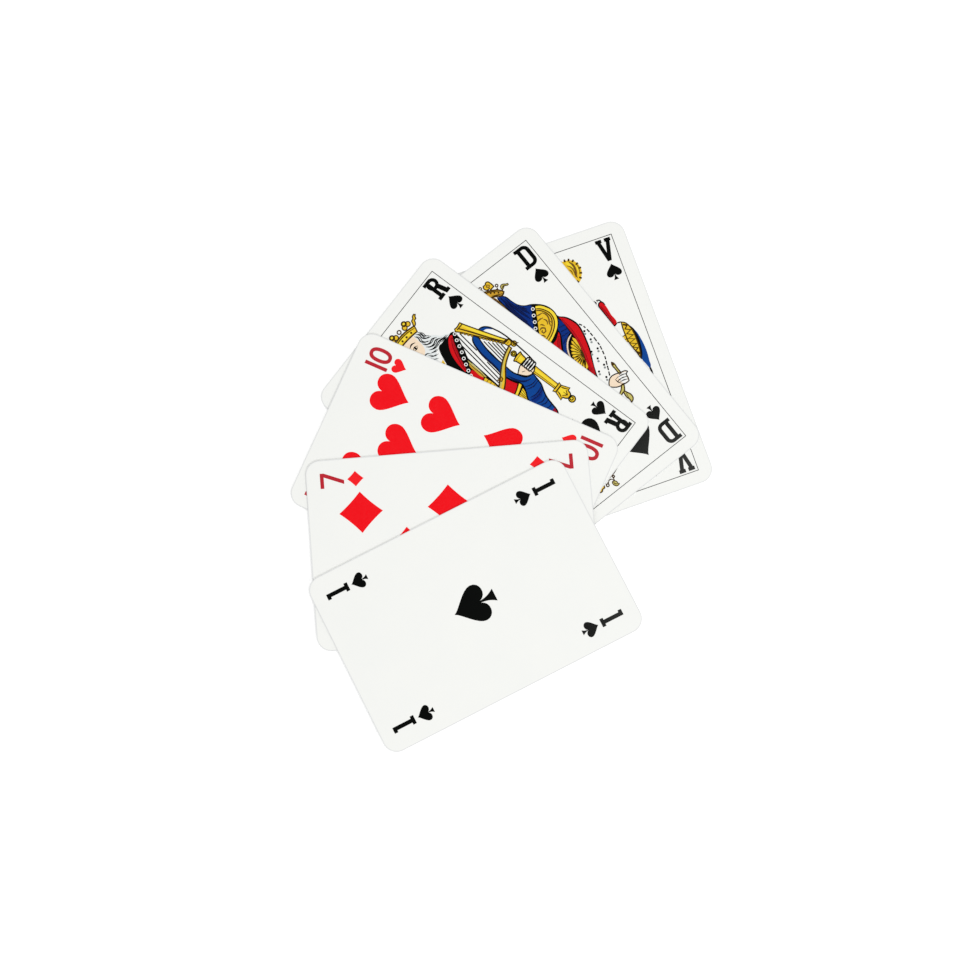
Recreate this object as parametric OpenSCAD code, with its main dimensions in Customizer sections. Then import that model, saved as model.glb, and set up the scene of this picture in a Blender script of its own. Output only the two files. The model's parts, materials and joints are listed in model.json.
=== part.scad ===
// Six playing cards lying face up as an open fan: jack, queen and king of spades,
// ten of hearts, seven of diamonds and ace of spades, from the bottom to the top.
// Each card is two papers glued together on a thin dark core, with ink printed on its face.
// The cards lie loose on one another and turn about the point where a thumb holds the fan.
// Lengths are millimetres. +Z is up, and the origin is the middle of the fan on the table.

/* [Card stock] */
// Width of a card
card_w = 59; // [54:0.5:64]
// Height of a card
card_h = 88; // [84:0.5:96]
// Radius of the cut corners
corner_r = 4.5; // [3:0.25:6]
// Thickness of the paper that carries the face
face_t = 0.14; // [0.1:0.01:0.2]
// Thickness of the paper that carries the back
back_t = 0.14; // [0.1:0.01:0.2]
// Thickness of the dark glue between the papers
core_t = 0.02; // [0.01:0.01:0.06]
// Thickness of the printed ink
ink_t = 0.02; // [0.01:0.005:0.03]

/* [Fan] */
// Air between the ink of one card and the back of the next
air_gap = 0.02; // [0.01:0.01:0.1]
// Angle of the jack away from upright
jack_angle = 19.3; // [0:0.1:40]
// Angle of the queen past the jack
queen_angle = 19.1; // [0:0.1:40]
// Angle of the king past the queen
king_angle = 14.3; // [0:0.1:40]
// Angle of the ten past the king
ten_angle = 13.5; // [0:0.1:40]
// Angle of the seven past the ten
seven_angle = 28.5; // [0:0.1:40]
// Angle of the ace past the seven
ace_angle = 22.3; // [0:0.1:40]
// Place of the pinch point on the jack, in from its left side
jack_pinch_in = 8.5; // [5:0.1:50]
// Place of the pinch point on the queen, in from its left side
queen_pinch_in = 8.8; // [5:0.1:50]
// Place of the pinch point on the king, in from its left side
king_pinch_in = 18.6; // [5:0.1:50]
// Place of the pinch point on the ten, in from its left side
ten_pinch_in = 32.1; // [5:0.1:50]
// Place of the pinch point on the seven, in from its left side
seven_pinch_in = 39.2; // [5:0.1:50]
// Place of the pinch point on the ace, in from its left side
ace_pinch_in = 45.8; // [5:0.1:50]
// Place of the pinch point on the jack, up from its lower edge
jack_pinch_up = 8.4; // [5:0.1:20]
// Place of the pinch point on the queen, up from its lower edge
queen_pinch_up = 12.5; // [5:0.1:20]
// Place of the pinch point on the king, up from its lower edge
king_pinch_up = 8.6; // [5:0.1:20]
// Place of the pinch point on the ten, up from its lower edge
ten_pinch_up = 11.4; // [5:0.1:20]
// Place of the pinch point on the seven, up from its lower edge
seven_pinch_up = 11.9; // [5:0.1:20]
// Place of the pinch point on the ace, up from its lower edge
ace_pinch_up = 8.3; // [5:0.1:20]

/* [Large suit marks] */
// Width of a spade
spade_w = 11.9; // [9:0.1:13]
// Height of a spade
spade_h = 13.8; // [10:0.1:15]
// Width of a heart
heart_w = 12; // [9:0.1:12.5]
// Height of a heart
heart_h = 11.7; // [9:0.1:13]
// Width of a diamond
diamond_w = 12.9; // [9:0.1:14]
// Height of a diamond
diamond_h = 13.5; // [9:0.1:14.5]
// Depth of the top row of marks below the card's upper edge, to their middle
row_inset = 16.6; // [15:0.1:20]
// Step from the ten's top row to its second row
ten_row_step = 17.5; // [14:0.1:19]
// Step from the ten's index to its outer column of marks
ten_column_step = 9.2; // [9:0.1:11]
// Step from the seven's index to its outer column of marks
seven_column_step = 10.6; // [10:0.1:12]
// Step from a court card's index to its large mark
court_mark_step = 9.6; // [9:0.1:12]
// Depth of a court card's large mark below the upper edge
court_mark_inset = 6.5; // [5:0.1:9]

/* [Corner indices] */
// Height of the figures and letters
index_h = 7.4; // [5:0.1:9]
// Depth of the indices below the card's upper edge
index_top = 4.65; // [3:0.05:6]
// Distance of the number cards' indices from the side, to their middle
index_side = 6.8; // [5.5:0.1:8]
// Distance of the court cards' indices from the side, to their middle
court_index_side = 7.7; // [7.5:0.1:10]
// Gap between an index and the small mark below it
index_gap = 1; // [0.5:0.1:2]
// Width of a small spade
small_spade_w = 4.95; // [3:0.05:6]
// Height of a small spade
small_spade_h = 5.4; // [4:0.1:7]
// Width of a small heart
small_heart_w = 4.6; // [3:0.1:6]
// Height of a small heart
small_heart_h = 4.4; // [3:0.1:6]
// Width of a small diamond
small_diamond_w = 4.85; // [3:0.05:6]
// Height of a small diamond
small_diamond_h = 5.1; // [3:0.1:6]
// Width of a letter
letter_w = 5; // [4:0.1:6]
// Width of the letters' strokes
letter_stroke = 1.3; // [0.8:0.05:1.5]
// Width of the red figures' strokes
stroke = 1.15; // [0.7:0.05:1.3]
// Width of the seven
figure_seven_w = 4.75; // [3.5:0.05:6]
// Width of the nought
nought_w = 4.55; // [3.5:0.05:6]
// Gap between the one and the nought
digit_gap = 0.7; // [0.4:0.1:1.2]
// Width of the foot of the one
one_foot_w = 2.7; // [2:0.1:4]

/* [Court frame] */
// Distance of the frame line from the sides of a court card
frame_side = 4.4; // [3:0.1:5]
// Distance of the frame line from the ends of a court card
frame_end = 4.05; // [3:0.05:4.2]
// Width of the frame line
frame_line_w = 0.2; // [0.1:0.05:0.4]

/* [Print register] */
// Drift of the red cards' print to the right of the cut card
print_drift_side = 0.25; // [0:0.05:1]
// Drift of the number cards' print upward on the cut card
print_drift_up = 0.25; // [0:0.05:1]

/* [Hidden] */
JACK = 0;
QUEEN = 1;
KING = 2;
TEN = 3;
SEVEN = 4;
ACE = 5;
CARDS = [JACK, QUEEN, KING, TEN, SEVEN, ACE];

PAPER = [0.96, 0.96, 0.95];
BACK_PAPER = [0.2, 0.3, 0.62];
GLUE = [0.2, 0.21, 0.24];
BLACK = [0.02, 0.02, 0.02];
RED = [0.93, 0.07, 0.1];
GOLD = [0.9, 0.72, 0.16];
BLUE = [0.05, 0.25, 0.62];
FLESH = [0.98, 0.88, 0.78];

// Straight steps along each curved stretch of a mark
curve_steps = 8;
$fn = 48;

angles = [jack_angle, queen_angle, king_angle, ten_angle, seven_angle, ace_angle];
pinch_ins = [jack_pinch_in, queen_pinch_in, king_pinch_in,
               ten_pinch_in, seven_pinch_in, ace_pinch_in];
pinch_ups = [jack_pinch_up, queen_pinch_up, king_pinch_up,
             ten_pinch_up, seven_pinch_up, ace_pinch_up];

// Levels inside a card, and the rise from one card to the next
card_t = back_t + core_t + face_t;
card_rise = card_t + ink_t + air_gap;

// Turn of a card, and its middle as seen from the pinch point
function card_turn(card) = angles[card] + (card > JACK ? card_turn(card - 1) : 0);
function turned(p, a) = [p[0] * cos(a) - p[1] * sin(a), p[0] * sin(a) + p[1] * cos(a)];
function card_middle(card) =
    -turned([pinch_ins[card] - card_w / 2, pinch_ups[card] - card_h / 2], card_turn(card));

// Half the room that a turned card takes across and along the table
straight_w = card_w / 2 - corner_r;
straight_h = card_h / 2 - corner_r;
function reach_x(card) =
    straight_w * abs(cos(card_turn(card))) + straight_h * abs(sin(card_turn(card))) + corner_r;
function reach_y(card) =
    straight_w * abs(sin(card_turn(card))) + straight_h * abs(cos(card_turn(card))) + corner_r;

// Middle of the whole fan, from the pinch point
fan_left = min([for (card = CARDS) card_middle(card)[0] - reach_x(card)]);
fan_right = max([for (card = CARDS) card_middle(card)[0] + reach_x(card)]);
fan_front = min([for (card = CARDS) card_middle(card)[1] - reach_y(card)]);
fan_rear = max([for (card = CARDS) card_middle(card)[1] + reach_y(card)]);
fan_middle = [(fan_left + fan_right) / 2, (fan_front + fan_rear) / 2];

// Places of the print
index_u = card_w / 2 - index_side;
court_index_u = card_w / 2 - court_index_side;
index_v = card_h / 2 - index_top - index_h;
row_v = card_h / 2 - row_inset;
court_mark_v = card_h / 2 - court_mark_inset - spade_h / 2;
frame_w = card_w - 2 * frame_side;
frame_h = card_h - 2 * frame_end;

// Details of the figures and letters
serif_t = 1.15;
serif_over = 0.75;
serif_foot_w = 2.5;
serif_arm_w = 2.05;
bowl_h = 4.1;
leg_over = 0.5;
one_flag_w = 1.9;
seven_leg_w = 1.25;
seven_foot_u = -1.4;
oval_fullness = 0.85;

// Right side of a spade from tip to foot, in shares of half its width and of its height
spade_flank_shares = [[0, 1], [0.1, 0.87], [1, 0.62], [1, 0.41]];
spade_lobe_shares = [[1, 0.41], [1, 0.17], [0.2, 0.14], [0.06, 0.35]];
spade_stem_shares = [[0.06, 0.35], [0.08, 0.16], [0.22, 0.09], [0.34, 0]];

// Right side of a heart from cleft to tip, in shares of half its width and of its height
heart_cleft_shares = [[0, 0.78], [0.06, 0.92], [0.25, 1], [0.5, 1]];
heart_lobe_shares = [[0.5, 1], [0.8, 1], [1, 0.88], [1, 0.71]];
heart_flank_shares = [[1, 0.71], [1, 0.5], [0.25, 0.22], [0, 0]];

// Right side of a diamond from top to bottom, in shares of half its width and of its height
diamond_upper_shares = [[0, 1], [0.3, 0.815], [0.63, 0.65], [1, 0.5]];
diamond_lower_shares = [[1, 0.5], [0.63, 0.35], [0.3, 0.185], [0, 0]];

// Upper half of the king, in shares of half the frame's width and half its height
king_crown_shares = [
    [-0.25, 0.81], [0.28, 0.8], [0.32, 0.855], [0.43, 0.905], [0.345, 0.9], [0.3, 0.925],
    [0.25, 0.945], [0.19, 0.92], [0.175, 0.885], [0.08, 0.885], [0.07, 0.925], [0.01, 0.955],
    [-0.05, 0.925], [-0.06, 0.885], [-0.13, 0.885], [-0.15, 0.92], [-0.2, 0.945],
    [-0.25, 0.92], [-0.28, 0.855]];
king_face_shares = [
    [-0.17, 0.8], [0.18, 0.79], [0.19, 0.72], [0.15, 0.64], [0.07, 0.59], [0, 0.575],
    [-0.07, 0.59], [-0.15, 0.64], [-0.18, 0.72]];
king_hand_shares = [
    [0.61, -0.03], [0.71, -0.005], [0.85, -0.01], [0.865, -0.06], [0.84, -0.095],
    [0.785, -0.105], [0.735, -0.12], [0.665, -0.09]];
king_collar_shares = [
    [0.15, 0.457], [0.185, 0.485], [0.275, 0.585], [0.46, 0.585], [0.38, 0.54], [0.305, 0.45],
    [0.255, 0.36], [0.23, 0.275], [0.205, 0.315], [0.175, 0.385]];
king_chain_shares = [
    [0.525, 0.575], [0.555, 0.55], [0.4, 0.405], [0.265, 0.265], [0.225, 0.285],
    [0.365, 0.425], [0.495, 0.555]];
king_cloak_shares = [
    [0.23, 0.275], [0.305, 0.45], [0.38, 0.54], [0.48, 0.585], [0.545, 0.575], [0.415, 0.475],
    [0.335, 0.37], [0.325, 0.2], [0.295, 0.155], [0.255, 0.2]];
king_tunic_shares = [
    [-0.17, 0.485], [-0.04, 0.44], [0.145, 0.46], [0.21, 0.315], [0.255, 0.2],
    [0.325, -0.015], [0.47, 0.02], [0.505, -0.09], [0.37, -0.12], [0.395, -0.195],
    [0, 0.005], [-0.32, 0.165], [-0.255, 0.325]];
king_sash_shares = [
    [0.67, 0.41], [0.605, 0.415], [0.555, 0.345], [0.515, 0.25], [0.5, 0.125], [0.485, 0],
    [0.525, -0.09], [0.485, -0.15], [0.42, -0.235], [0.455, -0.35], [0.51, -0.465],
    [0.535, -0.45], [0.6, -0.315], [0.67, -0.23], [0.705, -0.16], [0.73, -0.122],
    [0.66, -0.115], [0.615, -0.065], [0.595, 0], [0.585, 0.09], [0.595, 0.2],
    [0.625, 0.31], [0.665, 0.375]];
king_robe_shares = [
    [-0.2, 0.56], [-0.36, 0.555], [-0.47, 0.52], [-0.44, 0.47], [-0.4, 0.33], [-0.36, 0.24],
    [-0.345, 0.18], [-0.27, 0.33], [-0.19, 0.49]];
king_belt_shares = [
    [0.375, -0.125], [0.53, -0.092], [0.53, -0.115], [0.5, -0.125], [0.43, -0.215],
    [0.405, -0.205]];
king_harp_shares = [
    [0.56, 0.56], [0.615, 0.58], [0.69, 0.575], [0.905, 0.165], [0.93, 0.12], [0.855, 0.117],
    [0.825, 0.15], [0.705, 0.122], [0.545, 0.06], [0.345, -0.01], [0.32, 0.012],
    [0.505, 0.08], [0.69, 0.147], [0.795, 0.165]];
king_sceptre_shares = [
    [0.76, 0.11], [0.8, 0.11], [0.815, 0.09], [0.8, 0.067], [0.85, 0.062], [0.835, 0.045],
    [0.83, -0.11], [0.81, -0.328], [0.83, -0.333], [0.825, -0.355], [0.865, -0.42],
    [0.83, -0.415], [0.795, -0.457], [0.81, -0.487], [0.77, -0.51], [0.725, -0.49],
    [0.735, -0.457], [0.705, -0.42], [0.67, -0.42], [0.71, -0.355], [0.7, -0.333],
    [0.73, -0.328], [0.735, -0.11], [0.73, 0.045], [0.71, 0.062], [0.77, 0.067],
    [0.75, 0.09]];

// Upper half of the queen, in the same shares
queen_crown_shares = [
    [0.19, 0.8], [0.33, 0.765], [0.365, 0.805], [0.47, 0.82], [0.385, 0.84], [0.345, 0.865],
    [0.31, 0.88], [0.31, 0.92], [0.26, 0.94], [0.2, 0.925], [0.165, 0.94], [0.13, 0.92],
    [0.06, 0.955], [0, 0.93], [-0.06, 0.955], [-0.13, 0.93], [-0.18, 0.94], [-0.2, 0.87],
    [-0.05, 0.86]];
queen_face_shares = [
    [-0.17, 0.85], [0, 0.845], [0.18, 0.785], [0.2, 0.7], [0.16, 0.62], [0.08, 0.57],
    [0, 0.575], [-0.09, 0.62], [-0.15, 0.7]];
queen_hand_shares = [
    [0.65, -0.32], [0.72, -0.272], [0.83, -0.28], [0.935, -0.305], [0.935, -0.32],
    [0.895, -0.335], [0.88, -0.38], [0.81, -0.383], [0.735, -0.365]];
queen_chain_shares = [
    [0.56, 0.56], [0.575, 0.54], [0.44, 0.44], [0.385, 0.36], [0.355, 0.38], [0.425, 0.465],
    [0.51, 0.53]];
queen_shade_shares = [
    [0.495, 0.055], [0.56, 0.14], [0.7, 0.2], [0.695, 0.16], [0.65, 0.15], [0.53, 0.035]];
queen_brooch_shares = [
    [0.57, 0.548], [0.64, 0.505], [0.695, 0.45], [0.705, 0.39], [0.67, 0.33], [0.61, 0.285],
    [0.52, 0.247], [0.425, 0.227], [0.33, 0.25], [0.3, 0.3], [0.32, 0.37], [0.37, 0.385],
    [0.44, 0.455], [0.505, 0.51]];
queen_fan_shares = [
    [0.51, 0.03], [0.575, 0.105], [0.655, 0.165], [0.68, 0.145], [0.665, 0.06],
    [0.635, -0.022], [0.56, -0.11], [0.535, -0.055]];
queen_stem_shares = [[0.85, -0.18], [0.87, -0.19], [0.875, -0.285], [0.84, -0.285]];
queen_leaf_shares = [
    [0.785, -0.38], [0.755, -0.415], [0.79, -0.47], [0.745, -0.53], [0.73, -0.465],
    [0.73, -0.415], [0.69, -0.42], [0.735, -0.395]];
queen_cloak_shares = [
    [0.7, 0.37], [0.775, 0.31], [0.83, 0.24], [0.825, 0.17], [0.77, 0.05], [0.695, -0.065],
    [0.607, -0.205], [0.56, -0.115], [0.635, -0.025], [0.665, 0.045], [0.69, 0.125],
    [0.705, 0.215], [0.705, 0.3]];
queen_fold_shares = [
    [0.42, 0.222], [0.545, 0.25], [0.6, 0.28], [0.57, 0.215], [0.505, 0.14], [0.465, 0.13]];
queen_gown_shares = [
    [-0.05, 0.54], [0.06, 0.5], [0.2, 0.54], [0.29, 0.5], [0.35, 0.385], [0.3, 0.37],
    [0.28, 0.29], [0.32, 0.24], [0.41, 0.215], [0.46, 0.12], [0.5, 0.02], [0.53, -0.06],
    [0.4, -0.19], [0, 0.005], [-0.35, 0.185], [-0.35, 0.35], [-0.26, 0.48]];
queen_veil_shares = [
    [0.25, 0.78], [0.33, 0.763], [0.4, 0.635], [0.465, 0.595], [0.555, 0.56], [0.495, 0.515],
    [0.43, 0.455], [0.37, 0.385], [0.31, 0.5], [0.265, 0.625]];
queen_drape_shares = [
    [-0.2, 0.85], [-0.16, 0.7], [-0.1, 0.62], [-0.05, 0.55], [-0.13, 0.5], [-0.25, 0.5],
    [-0.26, 0.62], [-0.24, 0.75]];
queen_lining_shares = [
    [0.61, 0.28], [0.67, 0.33], [0.695, 0.3], [0.7, 0.215], [0.625, 0.18], [0.55, 0.13],
    [0.495, 0.06], [0.47, 0.125], [0.535, 0.19], [0.585, 0.24]];

// Upper half of the jack, in the same shares
jack_rosette_shares = [
    [0.27, 0.93], [0.375, 0.925], [0.44, 0.9], [0.48, 0.86], [0.495, 0.825], [0.475, 0.78],
    [0.435, 0.74], [0.395, 0.72], [0.335, 0.735], [0.29, 0.78], [0.265, 0.84], [0.255, 0.89]];
jack_sleeve_shares = [
    [0.725, 0.315], [0.775, 0.29], [0.83, 0.215], [0.835, 0.075], [0.81, -0.012],
    [0.76, 0.09], [0.71, 0.195], [0.72, 0.25]];
jack_face_shares = [
    [-0.15, 0.8], [0.16, 0.8], [0.17, 0.7], [0.12, 0.61], [0.02, 0.57], [-0.1, 0.61],
    [-0.16, 0.7]];
jack_plume_shares = [
    [0.485, 0.545], [0.525, 0.55], [0.58, 0.522], [0.55, 0.52], [0.52, 0.505]];
jack_point_shares = [[0.86, -0.112], [0.885, -0.108], [0.885, -0.162]];
jack_strap_shares = [
    [0.535, 0.485], [0.55, 0.52], [0.585, 0.52], [0.64, 0.425], [0.665, 0.365],
    [0.68, 0.325], [0.635, 0.295], [0.61, 0.325]];
jack_doublet_shares = [
    [-0.08, 0.55], [0.12, 0.55], [0.28, 0.5], [0.4, 0.3], [0.46, 0.1], [0.42, -0.2],
    [0, 0.005], [-0.4, 0.21], [-0.34, 0.4], [-0.26, 0.5]];
jack_hat_shares = [
    [-0.22, 0.805], [0.25, 0.805], [0.25, 0.88], [0.1, 0.93], [-0.15, 0.92], [-0.26, 0.86]];
jack_cuff_shares = [
    [0.825, 0.265], [0.865, 0.205], [0.905, 0.085], [0.905, 0.01], [0.88, -0.105],
    [0.86, -0.11], [0.813, -0.02], [0.84, 0.055], [0.845, 0.17]];
jack_cape_shares = [
    [-0.3, 0.5], [-0.44, 0.53], [-0.5, 0.45], [-0.46, 0.32], [-0.44, 0.24], [-0.38, 0.34]];

// Points along a curve that four points steer, without its last point
function curve_point(p, t) =
    p[0] * (1 - t) ^ 3 + 3 * p[1] * t * (1 - t) ^ 2 + 3 * p[2] * t ^ 2 * (1 - t) + p[3] * t ^ 3;
function curve(p) = [for (i = [0 : curve_steps - 1]) curve_point(p, i / curve_steps)];

// A mark with two like sides, drawn from its right side and centred on its own height
module mark(right, w, h) {
    left = [for (i = [len(right) - 1 : -1 : 0]) if (right[i][0] > 0) [-right[i][0], right[i][1]]];
    polygon([for (p = concat(right, left)) [p[0] * w / 2, p[1] * h - h / 2]]);
}

module spade(w, h) {
    foot = spade_stem_shares[len(spade_stem_shares) - 1];
    mark(concat(curve(spade_flank_shares), curve(spade_lobe_shares), curve(spade_stem_shares),
                [foot]), w, h);
}

module heart(w, h) {
    tip = heart_flank_shares[len(heart_flank_shares) - 1];
    mark(concat(curve(heart_cleft_shares), curve(heart_lobe_shares), curve(heart_flank_shares),
                [tip]), w, h);
}

module diamond(w, h) {
    tip = diamond_lower_shares[len(diamond_lower_shares) - 1];
    mark(concat(curve(diamond_upper_shares), curve(diamond_lower_shares), [tip]), w, h);
}

// Figures and letters stand on their foot, with their middle line at 0
module figure_one() {
    translate([-letter_stroke / 2, 0]) square([letter_stroke, index_h]);
    translate([-one_foot_w / 2, 0]) square([one_foot_w, serif_t]);
    translate([letter_stroke / 2 - one_flag_w, index_h - serif_t]) square([one_flag_w, serif_t]);
}

module figure_seven() {
    right = figure_seven_w / 2;
    shoulder = index_h - stroke;
    translate([-right, shoulder]) square([figure_seven_w, stroke]);
    polygon([[seven_foot_u, 0], [seven_foot_u + seven_leg_w, 0], [right, shoulder],
             [right, index_h], [right - seven_leg_w, shoulder]]);
}

// A ring between two ovals
module nought() {
    difference() {
        oval(nought_w, index_h);
        translate([0, stroke]) oval(nought_w - 2 * stroke, index_h - 2 * stroke);
    }
}

// An oval with fuller corners than an ellipse, standing on its foot
function fuller(share) = sign(share) * pow(abs(share), oval_fullness);
module oval(w, h) {
    translate([0, h / 2])
        polygon([for (i = [0 : $fn - 1]) [w / 2 * fuller(cos(360 * i / $fn)),
                                          h / 2 * fuller(sin(360 * i / $fn))]]);
}

module figure_ten() {
    whole_w = stroke + digit_gap + nought_w;
    translate([-whole_w / 2, 0]) square([stroke, index_h]);
    translate([whole_w / 2 - nought_w / 2, 0]) nought();
}

module letter_r() {
    left = -letter_w / 2;
    stem = left + serif_over;
    bowl_r = bowl_h / 2;
    bowl_u = letter_w / 2 - leg_over - bowl_r;
    waist = index_h - bowl_h;
    translate([stem, 0]) square([letter_stroke, index_h]);
    translate([left, 0]) square([serif_foot_w, serif_t]);
    translate([left, index_h - serif_t]) square([serif_over, serif_t]);
    difference() {
        union() {
            translate([stem, waist]) square([bowl_u - stem, bowl_h]);
            translate([bowl_u, waist + bowl_r]) circle(r = bowl_r);
        }
        translate([stem + letter_stroke, waist + serif_t])
            square([bowl_u - stem - letter_stroke, bowl_h - 2 * serif_t]);
        translate([bowl_u, waist + bowl_r]) circle(r = bowl_r - serif_t);
    }
    polygon([[bowl_u, waist + serif_t], [bowl_u, waist], [letter_w / 2 - leg_over - letter_stroke, 0],
             [letter_w / 2, 0], [letter_w / 2, serif_t], [letter_w / 2 - leg_over, serif_t],
             [bowl_u + letter_stroke, waist + serif_t]]);
}

module letter_d() {
    left = -letter_w / 2;
    stem = left + serif_over;
    translate([left, 0]) square([serif_over, serif_t]);
    translate([left, index_h - serif_t]) square([serif_over, serif_t]);
    bowl_r = (letter_w - serif_over) / 2;
    difference() {
        letter_d_block(stem, letter_w / 2, 0, index_h, bowl_r);
        letter_d_block(stem + letter_stroke, letter_w / 2 - letter_stroke, serif_t,
                       index_h - serif_t, bowl_r - letter_stroke);
    }
}

// A block with its two right corners rounded
module letter_d_block(left, right, low, high, r) {
    translate([left, low]) square([right - r - left, high - low]);
    translate([right - r, low + r]) square([r, high - low - 2 * r]);
    for (v = [low + r, high - r]) translate([right - r, v]) circle(r = r);
}

module letter_v() {
    right = letter_w / 2;
    arm = right - serif_arm_w / 2;
    inner = right - serif_arm_w;
    shoulder = index_h - serif_t;
    crotch = shoulder * letter_stroke / (2 * arm);
    half = [[0, crotch], [arm - letter_stroke / 2, shoulder], [inner, shoulder], [inner, index_h],
            [right, index_h], [right, shoulder], [arm + letter_stroke / 2, shoulder],
            [letter_stroke / 2, 0]];
    polygon(concat(half, [for (i = [len(half) - 1 : -1 : 1]) [-half[i][0], half[i][1]]]));
}

// The same print again for the other end of the card
module both_ends() {
    children();
    rotate(180) children();
}

// An index and the small mark below it, in all four corners
module in_corners(u) {
    both_ends() for (side = [-1, 1]) translate([side * u, index_v]) children();
}

module below_index(mark_h) {
    translate([0, -index_gap - mark_h / 2]) children();
}

module court_marks() {
    both_ends() translate([court_mark_step - court_index_u, court_mark_v]) spade(spade_w, spade_h);
}

module court_indices() {
    in_corners(court_index_u) {
        children();
        below_index(small_spade_h) spade(small_spade_w, small_spade_h);
    }
}

module court_frame_line() {
    difference() {
        square([frame_w + frame_line_w, frame_h + frame_line_w], center = true);
        square([frame_w - frame_line_w, frame_h - frame_line_w], center = true);
    }
}

// One coloured area of a court figure, from its shares of the frame
module area(shares) {
    polygon([for (s = shares) [s[0] * frame_w / 2, s[1] * frame_h / 2]]);
}

module king_black_areas() {
    area(king_collar_shares);
    area(king_chain_shares);
}

module king_flesh_areas() {
    area(king_face_shares);
    area(king_hand_shares);
}

module king_gold_areas() {
    area(king_crown_shares);
    area(king_belt_shares);
    area(king_harp_shares);
    area(king_sceptre_shares);
}

module king_red_areas() {
    area(king_cloak_shares);
    area(king_tunic_shares);
}

module king_blue_areas() {
    area(king_sash_shares);
    area(king_robe_shares);
}

module queen_black_areas() {
    area(queen_chain_shares);
    area(queen_shade_shares);
}

module queen_flesh_areas() {
    area(queen_face_shares);
    area(queen_hand_shares);
}

module queen_gold_areas() {
    area(queen_crown_shares);
    area(queen_brooch_shares);
    area(queen_fan_shares);
    area(queen_stem_shares);
    area(queen_leaf_shares);
}

module queen_red_areas() {
    area(queen_cloak_shares);
    area(queen_fold_shares);
    area(queen_gown_shares);
}

module queen_blue_areas() {
    area(queen_veil_shares);
    area(queen_drape_shares);
    area(queen_lining_shares);
}

module jack_black_areas() {
    area(jack_plume_shares);
    area(jack_point_shares);
}

module jack_flesh_areas() {
    area(jack_face_shares);
}

module jack_gold_areas() {
    area(jack_rosette_shares);
    area(jack_sleeve_shares);
}

module jack_red_areas() {
    area(jack_strap_shares);
    area(jack_doublet_shares);
}

module jack_blue_areas() {
    area(jack_hat_shares);
    area(jack_cuff_shares);
    area(jack_cape_shares);
}

// One colour of a court figure: its first child, which stops where the other children and
// the large marks are printed over it
module figure_areas() {
    difference() {
        both_ends() difference() {
            union() children(0);
            if ($children > 1) children([1 : $children - 1]);
        }
        court_marks();
    }
}

// Places what lies on one card, at a height above the card's own underside
module on_card(card, height) {
    place = card_middle(card) - fan_middle;
    translate([place[0], place[1], card * card_rise + height]) rotate(card_turn(card)) children();
}

module card_outline() {
    square([2 * straight_w, card_h], center = true);
    square([card_w, 2 * straight_h], center = true);
    for (x = [-straight_w, straight_w], y = [-straight_h, straight_h])
        translate([x, y]) circle(r = corner_r);
}

module back_sheet(card) {
    color(BACK_PAPER) on_card(card, 0) linear_extrude(back_t) card_outline();
}

module core(card) {
    color(GLUE) on_card(card, back_t) linear_extrude(core_t) card_outline();
}

module face_sheet(card) {
    color(PAPER) on_card(card, back_t + core_t) linear_extrude(face_t) card_outline();
}

module ink(card, colour) {
    color(colour) on_card(card, card_t) linear_extrude(ink_t) children();
}

// Print of a number card, which drifts a little from the middle of the cut card, the red more
module number_ink(card, colour) {
    ink(card, colour) translate([colour == RED ? print_drift_side : 0, print_drift_up]) children();
}

module jack_back_sheet() { back_sheet(JACK); }
module jack_core() { core(JACK); }
module jack_face_sheet() { face_sheet(JACK); }
module jack_marks() { ink(JACK, BLACK) court_marks(); }
module jack_indices() { ink(JACK, BLACK) court_indices() letter_v(); }
module jack_frame_line() { ink(JACK, BLACK) court_frame_line(); }
module jack_black_ink() { ink(JACK, BLACK) figure_areas() jack_black_areas(); }

module jack_flesh_ink() {
    ink(JACK, FLESH) figure_areas() {
        jack_flesh_areas();
        jack_black_areas();
    }
}

module jack_gold_ink() {
    ink(JACK, GOLD) figure_areas() {
        jack_gold_areas();
        jack_black_areas();
        jack_flesh_areas();
    }
}

module jack_red_ink() {
    ink(JACK, RED) figure_areas() {
        jack_red_areas();
        jack_black_areas();
        jack_flesh_areas();
        jack_gold_areas();
    }
}

module jack_blue_ink() {
    ink(JACK, BLUE) figure_areas() {
        jack_blue_areas();
        jack_black_areas();
        jack_flesh_areas();
        jack_gold_areas();
        jack_red_areas();
    }
}

module queen_back_sheet() { back_sheet(QUEEN); }
module queen_core() { core(QUEEN); }
module queen_face_sheet() { face_sheet(QUEEN); }
module queen_marks() { ink(QUEEN, BLACK) court_marks(); }
module queen_indices() { ink(QUEEN, BLACK) court_indices() letter_d(); }
module queen_frame_line() { ink(QUEEN, BLACK) court_frame_line(); }
module queen_black_ink() { ink(QUEEN, BLACK) figure_areas() queen_black_areas(); }

module queen_flesh_ink() {
    ink(QUEEN, FLESH) figure_areas() {
        queen_flesh_areas();
        queen_black_areas();
    }
}

module queen_gold_ink() {
    ink(QUEEN, GOLD) figure_areas() {
        queen_gold_areas();
        queen_black_areas();
        queen_flesh_areas();
    }
}

module queen_red_ink() {
    ink(QUEEN, RED) figure_areas() {
        queen_red_areas();
        queen_black_areas();
        queen_flesh_areas();
        queen_gold_areas();
    }
}

module queen_blue_ink() {
    ink(QUEEN, BLUE) figure_areas() {
        queen_blue_areas();
        queen_black_areas();
        queen_flesh_areas();
        queen_gold_areas();
        queen_red_areas();
    }
}

module king_back_sheet() { back_sheet(KING); }
module king_core() { core(KING); }
module king_face_sheet() { face_sheet(KING); }
module king_marks() { ink(KING, BLACK) court_marks(); }
module king_indices() { ink(KING, BLACK) court_indices() letter_r(); }
module king_frame_line() { ink(KING, BLACK) court_frame_line(); }
module king_black_ink() { ink(KING, BLACK) figure_areas() king_black_areas(); }

module king_flesh_ink() {
    ink(KING, FLESH) figure_areas() {
        king_flesh_areas();
        king_black_areas();
    }
}

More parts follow.
